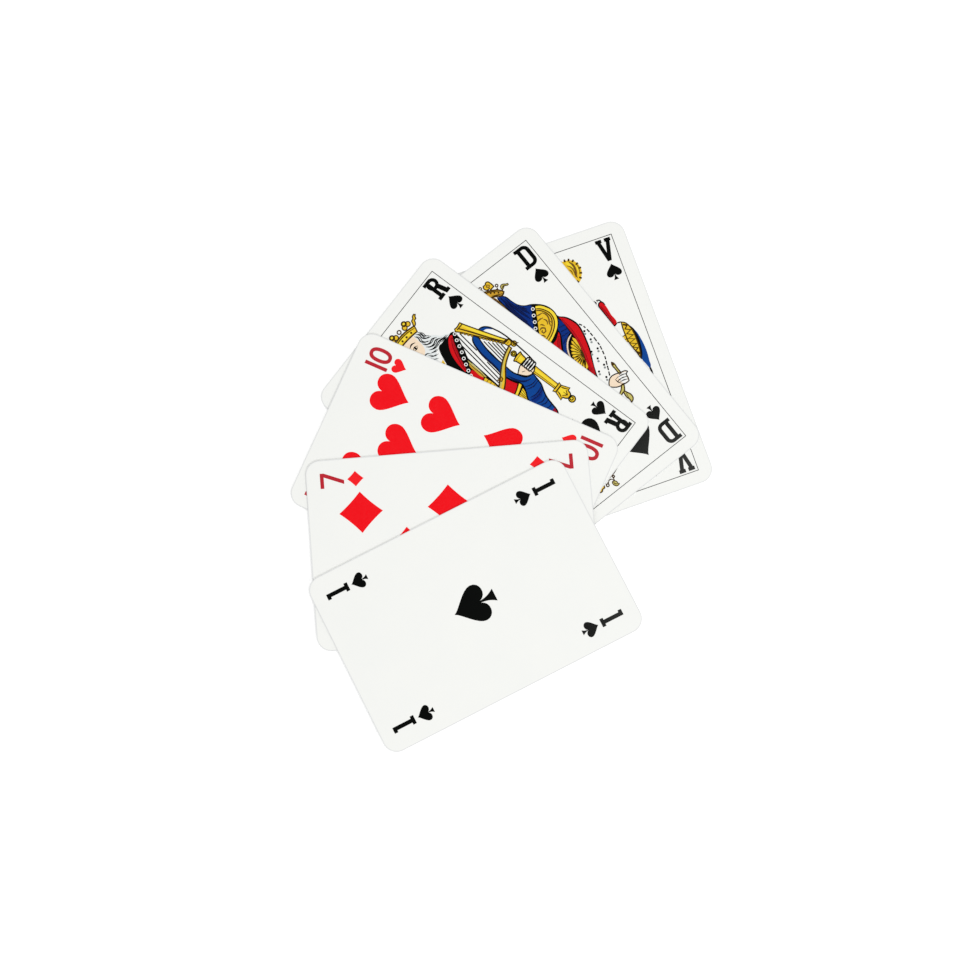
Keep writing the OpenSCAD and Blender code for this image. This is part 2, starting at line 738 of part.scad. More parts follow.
module king_gold_ink() {
    ink(KING, GOLD) figure_areas() {
        king_gold_areas();
        king_black_areas();
        king_flesh_areas();
    }
}

module king_red_ink() {
    ink(KING, RED) figure_areas() {
        king_red_areas();
        king_black_areas();
        king_flesh_areas();
        king_gold_areas();
    }
}

module king_blue_ink() {
    ink(KING, BLUE) figure_areas() {
        king_blue_areas();
        king_black_areas();
        king_flesh_areas();
        king_gold_areas();
        king_red_areas();
    }
}

module ten_back_sheet() { back_sheet(TEN); }
module ten_core() { core(TEN); }
module ten_face_sheet() { face_sheet(TEN); }

module ten_marks() {
    column = index_u - ten_column_step;
    number_ink(TEN, RED) both_ends() {
        for (side = [-1, 1], row = [0, 1])
            translate([side * column, row_v - row * ten_row_step]) heart(heart_w, heart_h);
        translate([0, row_v - ten_row_step / 2]) heart(heart_w, heart_h);
    }
}

module ten_indices() {
    number_ink(TEN, RED) in_corners(index_u) {
        figure_ten();
        below_index(small_heart_h) heart(small_heart_w, small_heart_h);
    }
}

module seven_back_sheet() { back_sheet(SEVEN); }
module seven_core() { core(SEVEN); }
module seven_face_sheet() { face_sheet(SEVEN); }

module seven_marks() {
    column = index_u - seven_column_step;
    number_ink(SEVEN, RED) {
        for (side = [-1, 1], v = [row_v, 0, -row_v])
            translate([side * column, v]) diamond(diamond_w, diamond_h);
        translate([0, row_v / 2]) diamond(diamond_w, diamond_h);
    }
}

module seven_indices() {
    number_ink(SEVEN, RED) in_corners(index_u) {
        figure_seven();
        below_index(small_diamond_h) diamond(small_diamond_w, small_diamond_h);
    }
}

module ace_back_sheet() { back_sheet(ACE); }
module ace_core() { core(ACE); }
module ace_face_sheet() { face_sheet(ACE); }
module ace_marks() { number_ink(ACE, BLACK) spade(spade_w, spade_h); }

module ace_indices() {
    number_ink(ACE, BLACK) in_corners(index_u) {
        figure_one();
        below_index(small_spade_h) spade(small_spade_w, small_spade_h);
    }
}

jack_back_sheet();
jack_core();
jack_face_sheet();
jack_marks();
jack_indices();
jack_frame_line();
jack_black_ink();
jack_flesh_ink();
jack_gold_ink();
jack_red_ink();
jack_blue_ink();
queen_back_sheet();
queen_core();
queen_face_sheet();
queen_marks();
queen_indices();
queen_frame_line();
queen_black_ink();
queen_flesh_ink();
queen_gold_ink();
queen_red_ink();
queen_blue_ink();
king_back_sheet();
king_core();
king_face_sheet();
king_marks();
king_indices();
king_frame_line();
king_black_ink();
king_flesh_ink();
king_gold_ink();
king_red_ink();
king_blue_ink();
ten_back_sheet();
ten_core();
ten_face_sheet();
ten_marks();
ten_indices();
seven_back_sheet();
seven_core();
seven_face_sheet();
seven_marks();
seven_indices();
ace_back_sheet();
ace_core();
ace_face_sheet();
ace_marks();
ace_indices();
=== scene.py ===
# %% [markdown]
# # A fan of six playing cards
# Six cards lie on a pale table, fanned about one corner: jack, queen and king of spades, ten of hearts,
# seven of diamonds and ace of spades. The sheets, the core, the suit marks, the corner indices and the
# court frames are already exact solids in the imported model, so they stay. This lesson gives them paper
# and ink, and it prints the three court pictures, which need finer drawing than a solid part holds.

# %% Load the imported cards
import json
import math

import bpy
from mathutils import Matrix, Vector


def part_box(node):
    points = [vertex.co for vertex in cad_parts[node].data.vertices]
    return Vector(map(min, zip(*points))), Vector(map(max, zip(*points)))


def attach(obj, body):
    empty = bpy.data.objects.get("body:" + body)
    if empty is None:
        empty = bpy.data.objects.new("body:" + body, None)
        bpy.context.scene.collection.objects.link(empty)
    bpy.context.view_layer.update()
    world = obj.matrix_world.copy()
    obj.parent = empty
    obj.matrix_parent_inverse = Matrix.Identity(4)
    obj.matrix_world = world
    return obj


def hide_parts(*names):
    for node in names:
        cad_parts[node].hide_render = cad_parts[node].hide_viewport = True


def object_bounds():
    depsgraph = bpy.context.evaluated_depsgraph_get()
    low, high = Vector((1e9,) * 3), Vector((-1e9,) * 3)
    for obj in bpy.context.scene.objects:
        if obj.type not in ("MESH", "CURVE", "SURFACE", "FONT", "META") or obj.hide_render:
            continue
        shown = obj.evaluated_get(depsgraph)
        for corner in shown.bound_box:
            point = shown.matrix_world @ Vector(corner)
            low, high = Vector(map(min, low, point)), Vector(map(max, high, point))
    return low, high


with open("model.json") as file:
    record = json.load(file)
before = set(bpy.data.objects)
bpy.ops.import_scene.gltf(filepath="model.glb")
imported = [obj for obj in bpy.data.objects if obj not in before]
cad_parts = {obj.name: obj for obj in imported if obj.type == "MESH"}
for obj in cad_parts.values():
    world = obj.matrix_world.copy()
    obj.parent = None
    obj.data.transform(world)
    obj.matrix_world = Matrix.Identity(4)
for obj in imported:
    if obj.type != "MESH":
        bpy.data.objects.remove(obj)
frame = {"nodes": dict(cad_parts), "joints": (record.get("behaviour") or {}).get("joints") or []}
cad_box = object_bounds()
nodes = frame["nodes"]
mm = 0.001

# %% [markdown]
# Each card lies at its own place and turn. Both could be typed in again, but then a change in the fan
# would leave the print behind. So they are read from each card's face sheet: its middle is the middle of
# its box, and the largest upright face belongs to a long side, so that face's normal points across the
# card. The card's top is the end away from the pinched corner, where the hinges are.

# %% Find how each card lies
CARDS = ("jack", "queen", "king", "ten", "seven", "ace")
COURTS = ("jack", "queen", "king")
pinch = Vector(frame["joints"][0]["pos_m"])


def find_card(card):
    sheet = nodes[card + "_face_sheet"].data
    low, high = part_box(card + "_face_sheet")
    middle = (low + high) / 2
    long_side = max((f for f in sheet.polygons if abs(f.normal.z) < 0.1), key=lambda f: f.area)
    across = long_side.normal
    up = Vector((-across.y, across.x, 0))
    if up.dot(middle - pinch) < 0:
        up.negate()
    reach = [max(abs((v.co - middle).dot(way)) for v in sheet.vertices) for way in (across, up)]
    return {"middle": middle, "turn": math.atan2(-up.x, up.y), "paper_top": high.z, "half": reach}


lay = {card: find_card(card) for card in CARDS}
for card in CARDS:
    print(card, [round(c / mm, 2) for c in lay[card]["middle"]], round(math.degrees(lay[card]["turn"]), 2))

# %% [markdown]
# Materials are small networks of shader nodes. Typing each link out is slow to read, so one helper adds a
# node, fills its sockets from values or from other nodes' sockets, and hands it back. A second helper
# opens a node group with named sockets, because several finishes here share the same effects.

# %% Helpers for shader nodes
def add(tree, kind, sockets=None, **settings):
    made = tree.nodes.new(kind)
    for key, value in settings.items():
        setattr(made, key, value)
    for socket, value in (sockets or {}).items():
        if isinstance(value, bpy.types.NodeSocket):
            tree.links.new(value, made.inputs[socket])
        else:
            made.inputs[socket].default_value = value
    return made


def figure(tree, operation, a, b=0.0, clamp=False):
    return add(tree, "ShaderNodeMath", {0: a, 1: b}, operation=operation, use_clamp=clamp).outputs[0]


def open_group(name, inputs, outputs):
    tree = bpy.data.node_groups.new(name, "ShaderNodeTree")
    for label, kind in inputs:
        tree.interface.new_socket(label, in_out="INPUT", socket_type=kind)
    for label in outputs:
        tree.interface.new_socket(label, in_out="OUTPUT", socket_type="NodeSocketFloat")
    return tree, tree.nodes.new("NodeGroupInput").outputs, tree.nodes.new("NodeGroupOutput").inputs


SRGB_KNEE = 0.04


def srgb(red, green, blue):
    shares = [c / 255 for c in (red, green, blue)]
    return [((c + 0.055) / 1.055) ** 2.4 if c > SRGB_KNEE else c / 12.92 for c in shares] + [1.0]


# %% [markdown]
# A card's face is not evenly white. The paper has a faint cloud and a fine tooth, and the varnish lies a
# little unevenly over it. The ink lies on the varnish with small changes of density. A grey rim along the
# cut edge is painted shade: it stands for the card's cut side, rolled a little and in shade. Images could
# hold all this, but noise on the object's own place needs no file and never repeats. The rim is found by
# arithmetic: the distance to a rounded rectangle, worked out in the card's own directions.

# %% Shared effects: paper tooth, ink lay and painted rim shade
CLOUD_SCALE, FIBRE_SCALE, VARNISH_SCALE = 60.0, 5200.0, 900.0
SPECKLE_SCALE, DRIFT_SCALE = 2600.0, 180.0
SPECKLE_SHARE = 0.65
DENSITY_LOW, DENSITY_HIGH = 0.3, 0.7


def noise(tree, place, scale, detail, distortion=0.0):
    return add(tree, "ShaderNodeTexNoise", {"Vector": place, "Scale": scale, "Detail": detail,
                                            "Distortion": distortion}).outputs["Fac"]


tooth, tooth_in, tooth_out = open_group("paper_tooth", [("Place", "NodeSocketVector")],
                                        ["Cloud", "Tooth", "Sheen"])
for output, scale, detail, distortion in (("Cloud", CLOUD_SCALE, 3.0, 0.0), ("Tooth", FIBRE_SCALE, 4.0, 0.6),
                                          ("Sheen", VARNISH_SCALE, 2.0, 0.0)):
    tooth.links.new(noise(tooth, tooth_in["Place"], scale, detail, distortion), tooth_out[output])

ink_lay, ink_in, ink_out = open_group("ink_lay", [("Place", "NodeSocketVector")], ["Density", "Film"])
speckle = noise(ink_lay, ink_in["Place"], SPECKLE_SCALE, 5.0)
drift = noise(ink_lay, ink_in["Place"], DRIFT_SCALE, 2.0)
blended = figure(ink_lay, "ADD", figure(ink_lay, "MULTIPLY", speckle, SPECKLE_SHARE),
                 figure(ink_lay, "MULTIPLY", drift, 1 - SPECKLE_SHARE))
density = add(ink_lay, "ShaderNodeMapRange",
              {"Value": blended, "From Min": DENSITY_LOW, "From Max": DENSITY_HIGH})
ink_lay.links.new(density.outputs[0], ink_out["Density"])
ink_lay.links.new(speckle, ink_out["Film"])

CORNER = 4.5 * mm
EDGE_WIDTH = 0.45 * mm
# Painted shade along the rim: this group gives 1 at the card's cut edge, fading to 0 a little inside it.
painted_rim_shade, edge_in, edge_out = open_group(
    "painted_rim_shade", [("Card Place", "NodeSocketVector"), ("Half Width", "NodeSocketFloat"),
                 ("Half Height", "NodeSocketFloat")], ["Edge"])
place = add(painted_rim_shade, "ShaderNodeSeparateXYZ", {0: edge_in["Card Place"]}).outputs
past = []
for way, half in (("X", "Half Width"), ("Y", "Half Height")):
    straight = figure(painted_rim_shade, "SUBTRACT", edge_in[half], CORNER)
    past.append(figure(painted_rim_shade, "SUBTRACT", figure(painted_rim_shade, "ABSOLUTE", place[way]), straight))
outside = [figure(painted_rim_shade, "MAXIMUM", p, 0.0) for p in past]
squares = [figure(painted_rim_shade, "MULTIPLY", side, side) for side in outside]
rounded = figure(painted_rim_shade, "SQRT", figure(painted_rim_shade, "ADD", *squares))
inner = figure(painted_rim_shade, "MINIMUM", figure(painted_rim_shade, "MAXIMUM", *past), 0.0)
depth = figure(painted_rim_shade, "SUBTRACT", figure(painted_rim_shade, "ADD", rounded, inner), CORNER)
near = add(painted_rim_shade, "ShaderNodeMapRange", {"Value": depth, "From Min": -EDGE_WIDTH, "From Max": 0.0},
           interpolation_type="SMOOTHSTEP")
painted_rim_shade.links.new(near.outputs[0], edge_out["Edge"])
print("groups:", [g.name for g in bpy.data.node_groups])

# %% [markdown]
# A finish starts with a Principled shader and the object's coordinates. The paper also needs to know
# where its card's middle and sides are, so a Mapping node turns and moves the coordinates into the card's
# own frame: then the painted shade along the rim follows the cut on every card, however it lies in the fan.

# %% Paper, glue and ink finishes
def open_finish(name):
    finish = bpy.data.materials.new(name)
    finish.use_nodes = True
    tree = finish.node_tree
    shader = tree.nodes["Principled BSDF"]
    place = add(tree, "ShaderNodeTexCoord").outputs["Object"]
    return finish, tree, shader, place


def on_card(tree, place, card):
    turn, middle = lay[card]["turn"], lay[card]["middle"]
    back = Vector((middle.x * math.cos(turn) + middle.y * math.sin(turn),
                   middle.y * math.cos(turn) - middle.x * math.sin(turn), middle.z))
    return add(tree, "ShaderNodeMapping",
               {"Vector": place, "Location": -back, "Rotation": (0, 0, -turn)}).outputs[0]


def blend(tree, share, first, second):
    mixed = add(tree, "ShaderNodeMix", {"Factor": share}, data_type="RGBA")
    for socket, value in ((mixed.inputs[6], first), (mixed.inputs[7], second)):
        if isinstance(value, bpy.types.NodeSocket):
            tree.links.new(value, socket)
        else:
            socket.default_value = value
    return mixed.outputs[2]


def bump(tree, shader, height, distance, strength):
    raised = add(tree, "ShaderNodeBump", {"Height": height, "Distance": distance, "Strength": strength})
    tree.links.new(raised.outputs["Normal"], shader.inputs["Normal"])


def spread(tree, value, low, high):
    return add(tree, "ShaderNodeMapRange", {"Value": value, "To Min": low, "To Max": high}).outputs[0]


# Where the painted shade along the rim lies on this card.
def rim_shade_of(tree, place, card):
    half_width, half_height = lay[card]["half"]
    return add(tree, "ShaderNodeGroup",
               {"Card Place": on_card(tree, place, card), "Half Width": half_width,
                "Half Height": half_height}, node_tree=painted_rim_shade).outputs["Edge"]


# The third colour is painted shade: the grey of the card's rolled cut side in shade, laid along the rim.
PAPER_WHITE, PAPER_CLOUD, PAPER_RIM_SHADE = srgb(246, 246, 243), srgb(242, 243, 241), srgb(222, 223, 224)
BACK_BLUE = srgb(30, 62, 132)
PAPER_ROUGHNESS = (0.42, 0.55)
PAPER_SHINE = 0.3
TOOTH_HEIGHT, TOOTH_STRENGTH = 0.004 * mm, 0.35


def paper(name, card, pattern=None):
    finish, tree, shader, place = open_finish(name)
    grain = add(tree, "ShaderNodeGroup", {"Place": place}, node_tree=tooth).outputs
    surface = blend(tree, grain["Cloud"], PAPER_WHITE, PAPER_CLOUD)
    if pattern:
        surface = blend(tree, pattern(tree, place, card), surface, BACK_BLUE)
    tree.links.new(blend(tree, rim_shade_of(tree, place, card), surface, PAPER_RIM_SHADE), shader.inputs["Base Color"])
    tree.links.new(spread(tree, grain["Sheen"], *PAPER_ROUGHNESS), shader.inputs["Roughness"])
    shader.inputs["Specular IOR Level"].default_value = PAPER_SHINE
    bump(tree, shader, grain["Tooth"], TOOTH_HEIGHT, TOOTH_STRENGTH)
    return finish


GLUE_DARK, GLUE_PALE = srgb(70, 72, 78), srgb(104, 106, 112)
GLUE_ROUGHNESS = (0.75, 0.95)


def core_glue():
    finish, tree, shader, place = open_finish("core_glue")
    grain = add(tree, "ShaderNodeGroup", {"Place": place}, node_tree=tooth).outputs
    tree.links.new(blend(tree, grain["Sheen"], GLUE_DARK, GLUE_PALE), shader.inputs["Base Color"])
    tree.links.new(spread(tree, grain["Cloud"], *GLUE_ROUGHNESS), shader.inputs["Roughness"])
    return finish


INK_ROUGHNESS = (0.1, 0.16)
INK_SHINE = 0.04
INK_HEIGHT, INK_STRENGTH = 0.002 * mm, 0.25


def open_ink(name):
    finish, tree, shader, place = open_finish(name)
    film = add(tree, "ShaderNodeGroup", {"Place": place}, node_tree=ink_lay).outputs
    tree.links.new(spread(tree, film["Film"], *INK_ROUGHNESS), shader.inputs["Roughness"])
    shader.inputs["Specular IOR Level"].default_value = INK_SHINE
    bump(tree, shader, film["Film"], INK_HEIGHT, INK_STRENGTH)
    return finish, tree, shader, place, film["Density"]


def ink(name, solid, thin):
    finish, tree, shader, place, density = open_ink(name)
    tree.links.new(blend(tree, density, thin, solid), shader.inputs["Base Color"])
    return finish


INK_TONES = {
    "white": ((244, 245, 243), (248, 248, 246)),
    "black": ((0, 1, 0), (3, 5, 4)),
    "scarlet": ((241, 14, 25), (246, 25, 34)),
    "red": ((206, 14, 24), (214, 24, 32)),
    "crimson": ((176, 12, 26), (190, 24, 34)),
    "gold": ((230, 186, 36), (238, 198, 58)),
    "yellow": ((244, 214, 44), (248, 222, 72)),
    "ochre": ((198, 148, 40), (210, 164, 58)),
    "umber": ((62, 40, 4), (82, 56, 14)),
    "blue": ((8, 62, 138), (16, 72, 152)),
    "indigo": ((7, 42, 118), (14, 50, 130)),
    "navy": ((8, 22, 74), (16, 32, 88)),
    "flesh": ((243, 218, 190), (248, 228, 204)),
    "silver": ((226, 231, 231), (236, 240, 240)),
    "grey": ((132, 138, 138), (150, 156, 156)),
    "olive": ((194, 182, 92), (206, 194, 114)),
    "brown": ((112, 78, 30), (132, 96, 46)),
}
INKS = {name: ink(name + "_ink", srgb(*solid), srgb(*thin)) for name, (solid, thin) in INK_TONES.items()}
glue = core_glue()
FIGURE_FOOT = 31.5 * mm
INDEX_MARK_THIN, INDEX_MARK_SOLID = srgb(250, 38, 42), srgb(244, 24, 36)
INDEX_SIGN_THIN, INDEX_SIGN_SOLID = srgb(196, 48, 60), srgb(182, 34, 46)


def index_ink(card):
    finish, tree, shader, place, density = open_ink(card + "_index_ink")
    own = add(tree, "ShaderNodeSeparateXYZ", {0: on_card(tree, place, card)}).outputs
    mark = blend(tree, density, INDEX_MARK_THIN, INDEX_MARK_SOLID)
    sign = blend(tree, density, INDEX_SIGN_THIN, INDEX_SIGN_SOLID)
    outer = figure(tree, "GREATER_THAN", figure(tree, "ABSOLUTE", own["Y"]), FIGURE_FOOT)
    tree.links.new(blend(tree, outer, mark, sign), shader.inputs["Base Color"])
    return finish


print("inks:", ", ".join(INKS))

# %% [markdown]
# Nothing shows of the backs while the cards lie, but someone will pick one up. A common back has a narrow
# white margin round a blue ground with a lattice of white lines. The sum and the difference of the card's
# two coordinates run slantwise over it, so lines at even steps of each cross as lozenges.

# %% The backs' lattice
LATTICE = 3.2 * mm
LINE_SHARE = 0.22
MARGIN = 3.6 * mm


def lines(tree, along, step, share):
    turn = figure(tree, "FRACT", figure(tree, "DIVIDE", along, step))
    wave = figure(tree, "ABSOLUTE", figure(tree, "SUBTRACT", turn, 0.5))
    return figure(tree, "GREATER_THAN", wave, 0.5 - share / 2)


def lattice(tree, place, card):
    own = add(tree, "ShaderNodeSeparateXYZ", {0: on_card(tree, place, card)}).outputs
    slants = [figure(tree, way, own["X"], own["Y"]) for way in ("ADD", "SUBTRACT")]
    crossed = figure(tree, "MAXIMUM", *[lines(tree, slant, LATTICE, LINE_SHARE) for slant in slants])
    within = [figure(tree, "LESS_THAN", figure(tree, "ABSOLUTE", own[way]), half - MARGIN)
              for way, half in zip("XY", lay[card]["half"])]
    inside = figure(tree, "MULTIPLY", *within)
    return figure(tree, "MULTIPLY", inside, figure(tree, "SUBTRACT", 1.0, crossed))


def dress(node, finish):
    nodes[node].data.materials.clear()
    nodes[node].data.materials.append(finish)


RED_CARDS = ("ten", "seven")
for card in CARDS:
    dress(card + "_face_sheet", paper(card + "_face_paper", card))
    dress(card + "_back_sheet", paper(card + "_back_paper", card, lattice))
    dress(card + "_core", glue)
    dress(card + "_marks", INKS["scarlet" if card in RED_CARDS else "black"])
    dress(card + "_indices", index_ink(card) if card in RED_CARDS else INKS["black"])
for card in COURTS:
    dress(card + "_frame_line", INKS["black"])
    for colour in ("black", "flesh", "gold", "red", "blue"):
        dress(card + "_" + colour + "_ink", INKS[colour])
print("dressed nodes:", sum(1 for n in nodes.values() if n.data.materials))

# %% [markdown]
# The court pictures are printed in a few flat inks with a dark key line over them. An image on the paper
# would be quicker, but it would blur when the camera comes close. So each ink is a real film: a flat
# curve is filled and given a few thousandths of a millimetre, and each later film stands a little higher,
# as inks laid one over another do. The key line is drawn last with a round pen, which is a bevelled curve
# pressed flat. Every outline is given in millimetres from the card's middle, u to the right and v up,
# for the upper figure alone, because the lower one is a copy of it. What repeats within a figure, as beads
# and jewels do, is drawn once and stamped at all its places. Only the belt across the middle belongs to
# both figures, so its films are kept apart, and half of its outline gives the rest. A call names the ink,
# then the film's level or the pen's width in millimetres, and then the outlines or strokes.

# %% Brush and pen
FILM = 0.004
LAYER = 0.002
LINE_HEIGHT = 0.028
LINE_THICK = 0.003
PEN_PRESS = 1.6
FILM_STEPS, LINE_STEPS = 5, 4
BELT_LINE = 0.3
CORNER_TURN = math.radians(58)
figure_films = {}
belt_films = {}


def plot(curve, points, closed, end_width):
    spline = curve.splines.new("BEZIER")
    spline.bezier_points.add(len(points) - 1)
    spline.use_cyclic_u = closed
    for knot, (u, v) in zip(spline.bezier_points, points):
        knot.co = (u, v, 0)
    for i, knot in enumerate(spline.bezier_points):
        before, here, after = (Vector(points[(i + k) % len(points)]) for k in (-1, 0, 1))
        inside = closed or 0 < i < len(points) - 1
        sharp = inside and (here - before).angle(after - here, 0) > CORNER_TURN
        knot.handle_left_type = knot.handle_right_type = "VECTOR" if sharp else "AUTO"
        knot.radius = 1.0 if inside else end_width


def new_curve(dimensions):
    bpy.ops.object.select_all(action="DESELECT")
    bpy.ops.curve.primitive_bezier_curve_add()
    bpy.context.object.data.splines.clear()
    bpy.context.object.data.dimensions = dimensions
    return bpy.context.object


def brush(colour, level, *outlines, films=figure_films):
    for outline in outlines:
        film = new_curve("2D")
        film.data.fill_mode = "BOTH"
        film.data.resolution_u = FILM_STEPS
        film.data.extrude = (FILM + LAYER * level) / 2
        film.location.z = film.data.extrude
        plot(film.data, outline, True, 1.0)
        bpy.ops.object.convert(target="MESH")
        films.setdefault(colour, []).append(film)


def stamp(colour, level, outline, places, films=figure_films):
    brush(colour, level, outline, films=films)
    bpy.context.object.location.xy = places[0]
    for place in places[1:]:
        bpy.ops.object.duplicate()
        bpy.context.object.location.xy = place
        films[colour].append(bpy.context.object)


def pen(colour, width, *strokes, loop=False, point=0.45, films=figure_films):
    line = new_curve("3D")
    line.data.bevel_depth = width * PEN_PRESS / 2
    line.data.bevel_resolution = 0
    line.data.resolution_u = LINE_STEPS
    line.data.use_fill_caps = True
    line.data.twist_mode = "Z_UP"
    line.scale.z = LINE_THICK / (width * PEN_PRESS)
    line.location.z = LINE_HEIGHT
    for stroke in strokes:
        plot(line.data, stroke, loop, point)
    bpy.ops.object.convert(target="MESH")
    films.setdefault(colour, []).append(line)


def outlined(colour, line, level, *outlines, width=0.24, films=figure_films):
    brush(colour, level, *outlines, films=films)
    pen(line, width, *outlines, loop=True, films=films)


def disc(r, u=0, v=0):
    return [(u + r * math.cos(k * math.pi / 4), v + r * math.sin(k * math.pi / 4)) for k in range(8)]


def lozenge(half_width, half_height):
    return [(-half_width, 0), (0, half_height), (half_width, 0), (0, -half_height)]


BEAD, BEAD_HOLE = 0.57, 0.33


def beads(places):
    stamp("white", 3, disc(BEAD), places)
    stamp("black", 4, disc(BEAD_HOLE), places)


def moved(outline, across, up=0):
    return [(u + across, v + up) for u, v in outline]


def mirrored(*outlines):
    return [[(-u, v) for u, v in outline] for outline in outlines]


def belt(level, half, gem_ink, gem, slope, places):
    outline = half + [(-u, -v) for u, v in half]
    outlined("gold", "umber", level, outline, width=BELT_LINE, films=belt_films)
    stamp(gem_ink, level + 1, gem, [(u, slope * u) for u in places], films=belt_films)


def tell(part):
    print(part, "drawn, films and lines so far:", {ink: len(films) for ink, films in figure_films.items()})


def between(first, second, count):
    return [((first[0] * (count - 1 - k) + second[0] * k) / (count - 1),
             (first[1] * (count - 1 - k) + second[1] * k) / (count - 1)) for k in range(count)]


# %% [markdown]
# When a figure is drawn, all its films and lines of one ink are joined. A copy of them, given half a turn,
# is the lower figure, and both make one piece with the belt. A printed picture is never quite in register
# with the frame round it, so each is moved by a few tenths of a millimetre. Then it is scaled from
# millimetres to metres, and turned and moved onto its card. Each piece rides on that card, and where the
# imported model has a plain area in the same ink, the finer print stands for it.

# %% Press a finished figure onto its card
STANDS_FOR = {"indigo": "blue"}
SEAM = 0.0004
REGISTER = {"jack": (0.2, -0.35), "queen": (0.1, -0.2), "king": (0, -0.32)}


def join(films):
    bpy.ops.object.select_all(action="DESELECT")
    for film in films:
        film.select_set(True)
    bpy.context.view_layer.objects.active = films[0]
    bpy.ops.object.transform_apply(location=True, rotation=True, scale=True)
    if len(films) > 1:
        bpy.ops.object.join()
    return bpy.context.object


def press(card):
    for colour, films in figure_films.items():
        upper = join(films)
        bpy.ops.object.duplicate()
        lower = bpy.context.object
        lower.rotation_euler.z = math.pi
        piece = join([upper, lower] + belt_films.get(colour, []))
        piece.name = card + "_" + colour + "_print"
        bpy.ops.object.mode_set(mode="EDIT")
        bpy.ops.mesh.select_all(action="SELECT")
        bpy.ops.mesh.remove_doubles(threshold=SEAM)
        bpy.ops.mesh.normals_make_consistent(inside=False)
        bpy.ops.object.mode_set(mode="OBJECT")
        middle = lay[card]["middle"]
        piece.location = (*REGISTER[card], 0)
        bpy.ops.object.transform_apply(location=True, rotation=True, scale=True)
        piece.scale = (mm, mm, mm)
        piece.rotation_euler.z = lay[card]["turn"]
        piece.location = (middle.x, middle.y, lay[card]["paper_top"])
        bpy.ops.object.transform_apply(location=True, rotation=True, scale=True)
        piece.data.materials.clear()
        piece.data.materials.append(INKS[colour])
        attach(piece, card + "_card")
        plain = card + "_" + STANDS_FOR.get(colour, colour) + "_ink"
        if plain in nodes:
            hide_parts(plain)
        print(piece.name, len(piece.data.polygons), "faces")
    figure_films.clear()
    belt_films.clear()


# %% [markdown]
# The king's head stands a little right of the large spade, with a crown, long grey hair and a full beard.
# The face is drawn on the usual proportions: eyes halfway down the head and one eye apart, the nose
# halfway from there to the chin. Hair is a pale film with loose wavy pen strokes over it.

# %% King: head, hair and crown
brush("flesh", 0,
    [(-4.3, 32.4), (-4.2, 29.6), (-3.6, 27), (-2.2, 25.2), (0.2, 24.5), (2.8, 25.2), (4.2, 27), (4.8, 29.6),
     (4.8, 32.3), (2.5, 32.9), (0.2, 33), (-2.2, 32.8)])
brush("silver", 1,
    [(4.9, 32.4), (7, 32.1), (7.4, 30), (8.3, 28.3), (9.6, 26.7), (10.2, 25.5), (11.4, 24.7), (12.3, 23.9),
     (11, 23.5), (9, 23.8), (7.2, 24), (5.9, 23.7), (4.6, 22.5), (3.3, 21.2), (2, 20.3), (0.6, 19.9),
     (-1, 20.2), (-2.6, 21), (-4, 22.2), (-5.2, 23.4), (-5.7, 25.4), (-5.4, 28), (-4.9, 30.4), (-4.6, 32.3),
     (-4.1, 30), (-3.8, 27.6), (-2.7, 26.1), (-1, 25.7), (0.2, 26.2), (1.4, 25.7), (3.1, 26.1), (4.2, 27.6),
     (4.7, 30)])
brush("flesh", 2, [(-0.9, 25), (0.2, 25.2), (1.3, 25), (0.9, 24.4), (0.2, 24.2), (-0.5, 24.4)])
king_locks = [
    [(5, 31.9), (5.4, 30.6), (5, 29.4), (5.6, 28.2), (6.6, 27.6)],
    [(5.8, 32), (6.4, 30.8), (6.2, 29.6), (6.9, 28.6), (8, 28.2)],
    [(6.7, 32), (7.1, 30.7), (7, 29.6), (7.8, 28.8)],
    [(4.7, 28.6), (5.2, 27.4), (6.4, 26.8), (7.8, 27), (8.8, 26.5)],
    [(4.6, 27), (5.4, 26), (6.8, 25.6), (8.2, 25.9), (9.6, 25.2)],
    [(4.4, 25.6), (5.4, 24.9), (7, 24.7), (8.6, 24.9), (10.2, 24.4), (11.6, 24.2)],
    [(8.6, 24.2), (10, 23.9), (11.2, 23.6)], [(3.9, 24.6), (5, 24), (6.2, 23.9)],
    [(3, 24.8), (3.6, 23.4), (4.9, 22.9)], [(2.2, 24.2), (2.7, 22.8), (3.8, 22)],
    [(1.4, 23.6), (1.9, 22), (2.9, 21.1)], [(0.4, 23.4), (0.7, 21.6), (1.2, 20.2)],
    [(-0.6, 23.6), (-0.6, 21.8), (0, 20)], [(-1.6, 24.2), (-2, 22.4), (-1.2, 20.6)],
    [(-2.6, 24.8), (-3.2, 23), (-2.4, 21.2)], [(-4.2, 31.6), (-4.6, 30), (-4.2, 28.6), (-4.8, 27)],
    [(-4.9, 28.6), (-5.2, 27), (-4.8, 25.4), (-5.4, 24)],
    [(-4.2, 26.6), (-4.4, 25), (-4, 23.6), (-4.4, 22.4)], [(-3.4, 25.6), (-3.8, 24), (-3.4, 22.6)],
    [(0.2, 26), (1.6, 25.5), (3, 25.4), (3.8, 24.6)], [(0.2, 26), (-1.2, 25.5), (-2.4, 25.4), (-3, 24.6)],
    [(1.2, 24.2), (2.2, 23.4)], [(-0.8, 24.2), (-1.6, 23.2)]]
pen("black", 0.24, *king_locks, point=0.25)
pen("black", 0.15, *[moved(lock, 0.45, -0.4) for lock in king_locks[:14]], point=0.3)
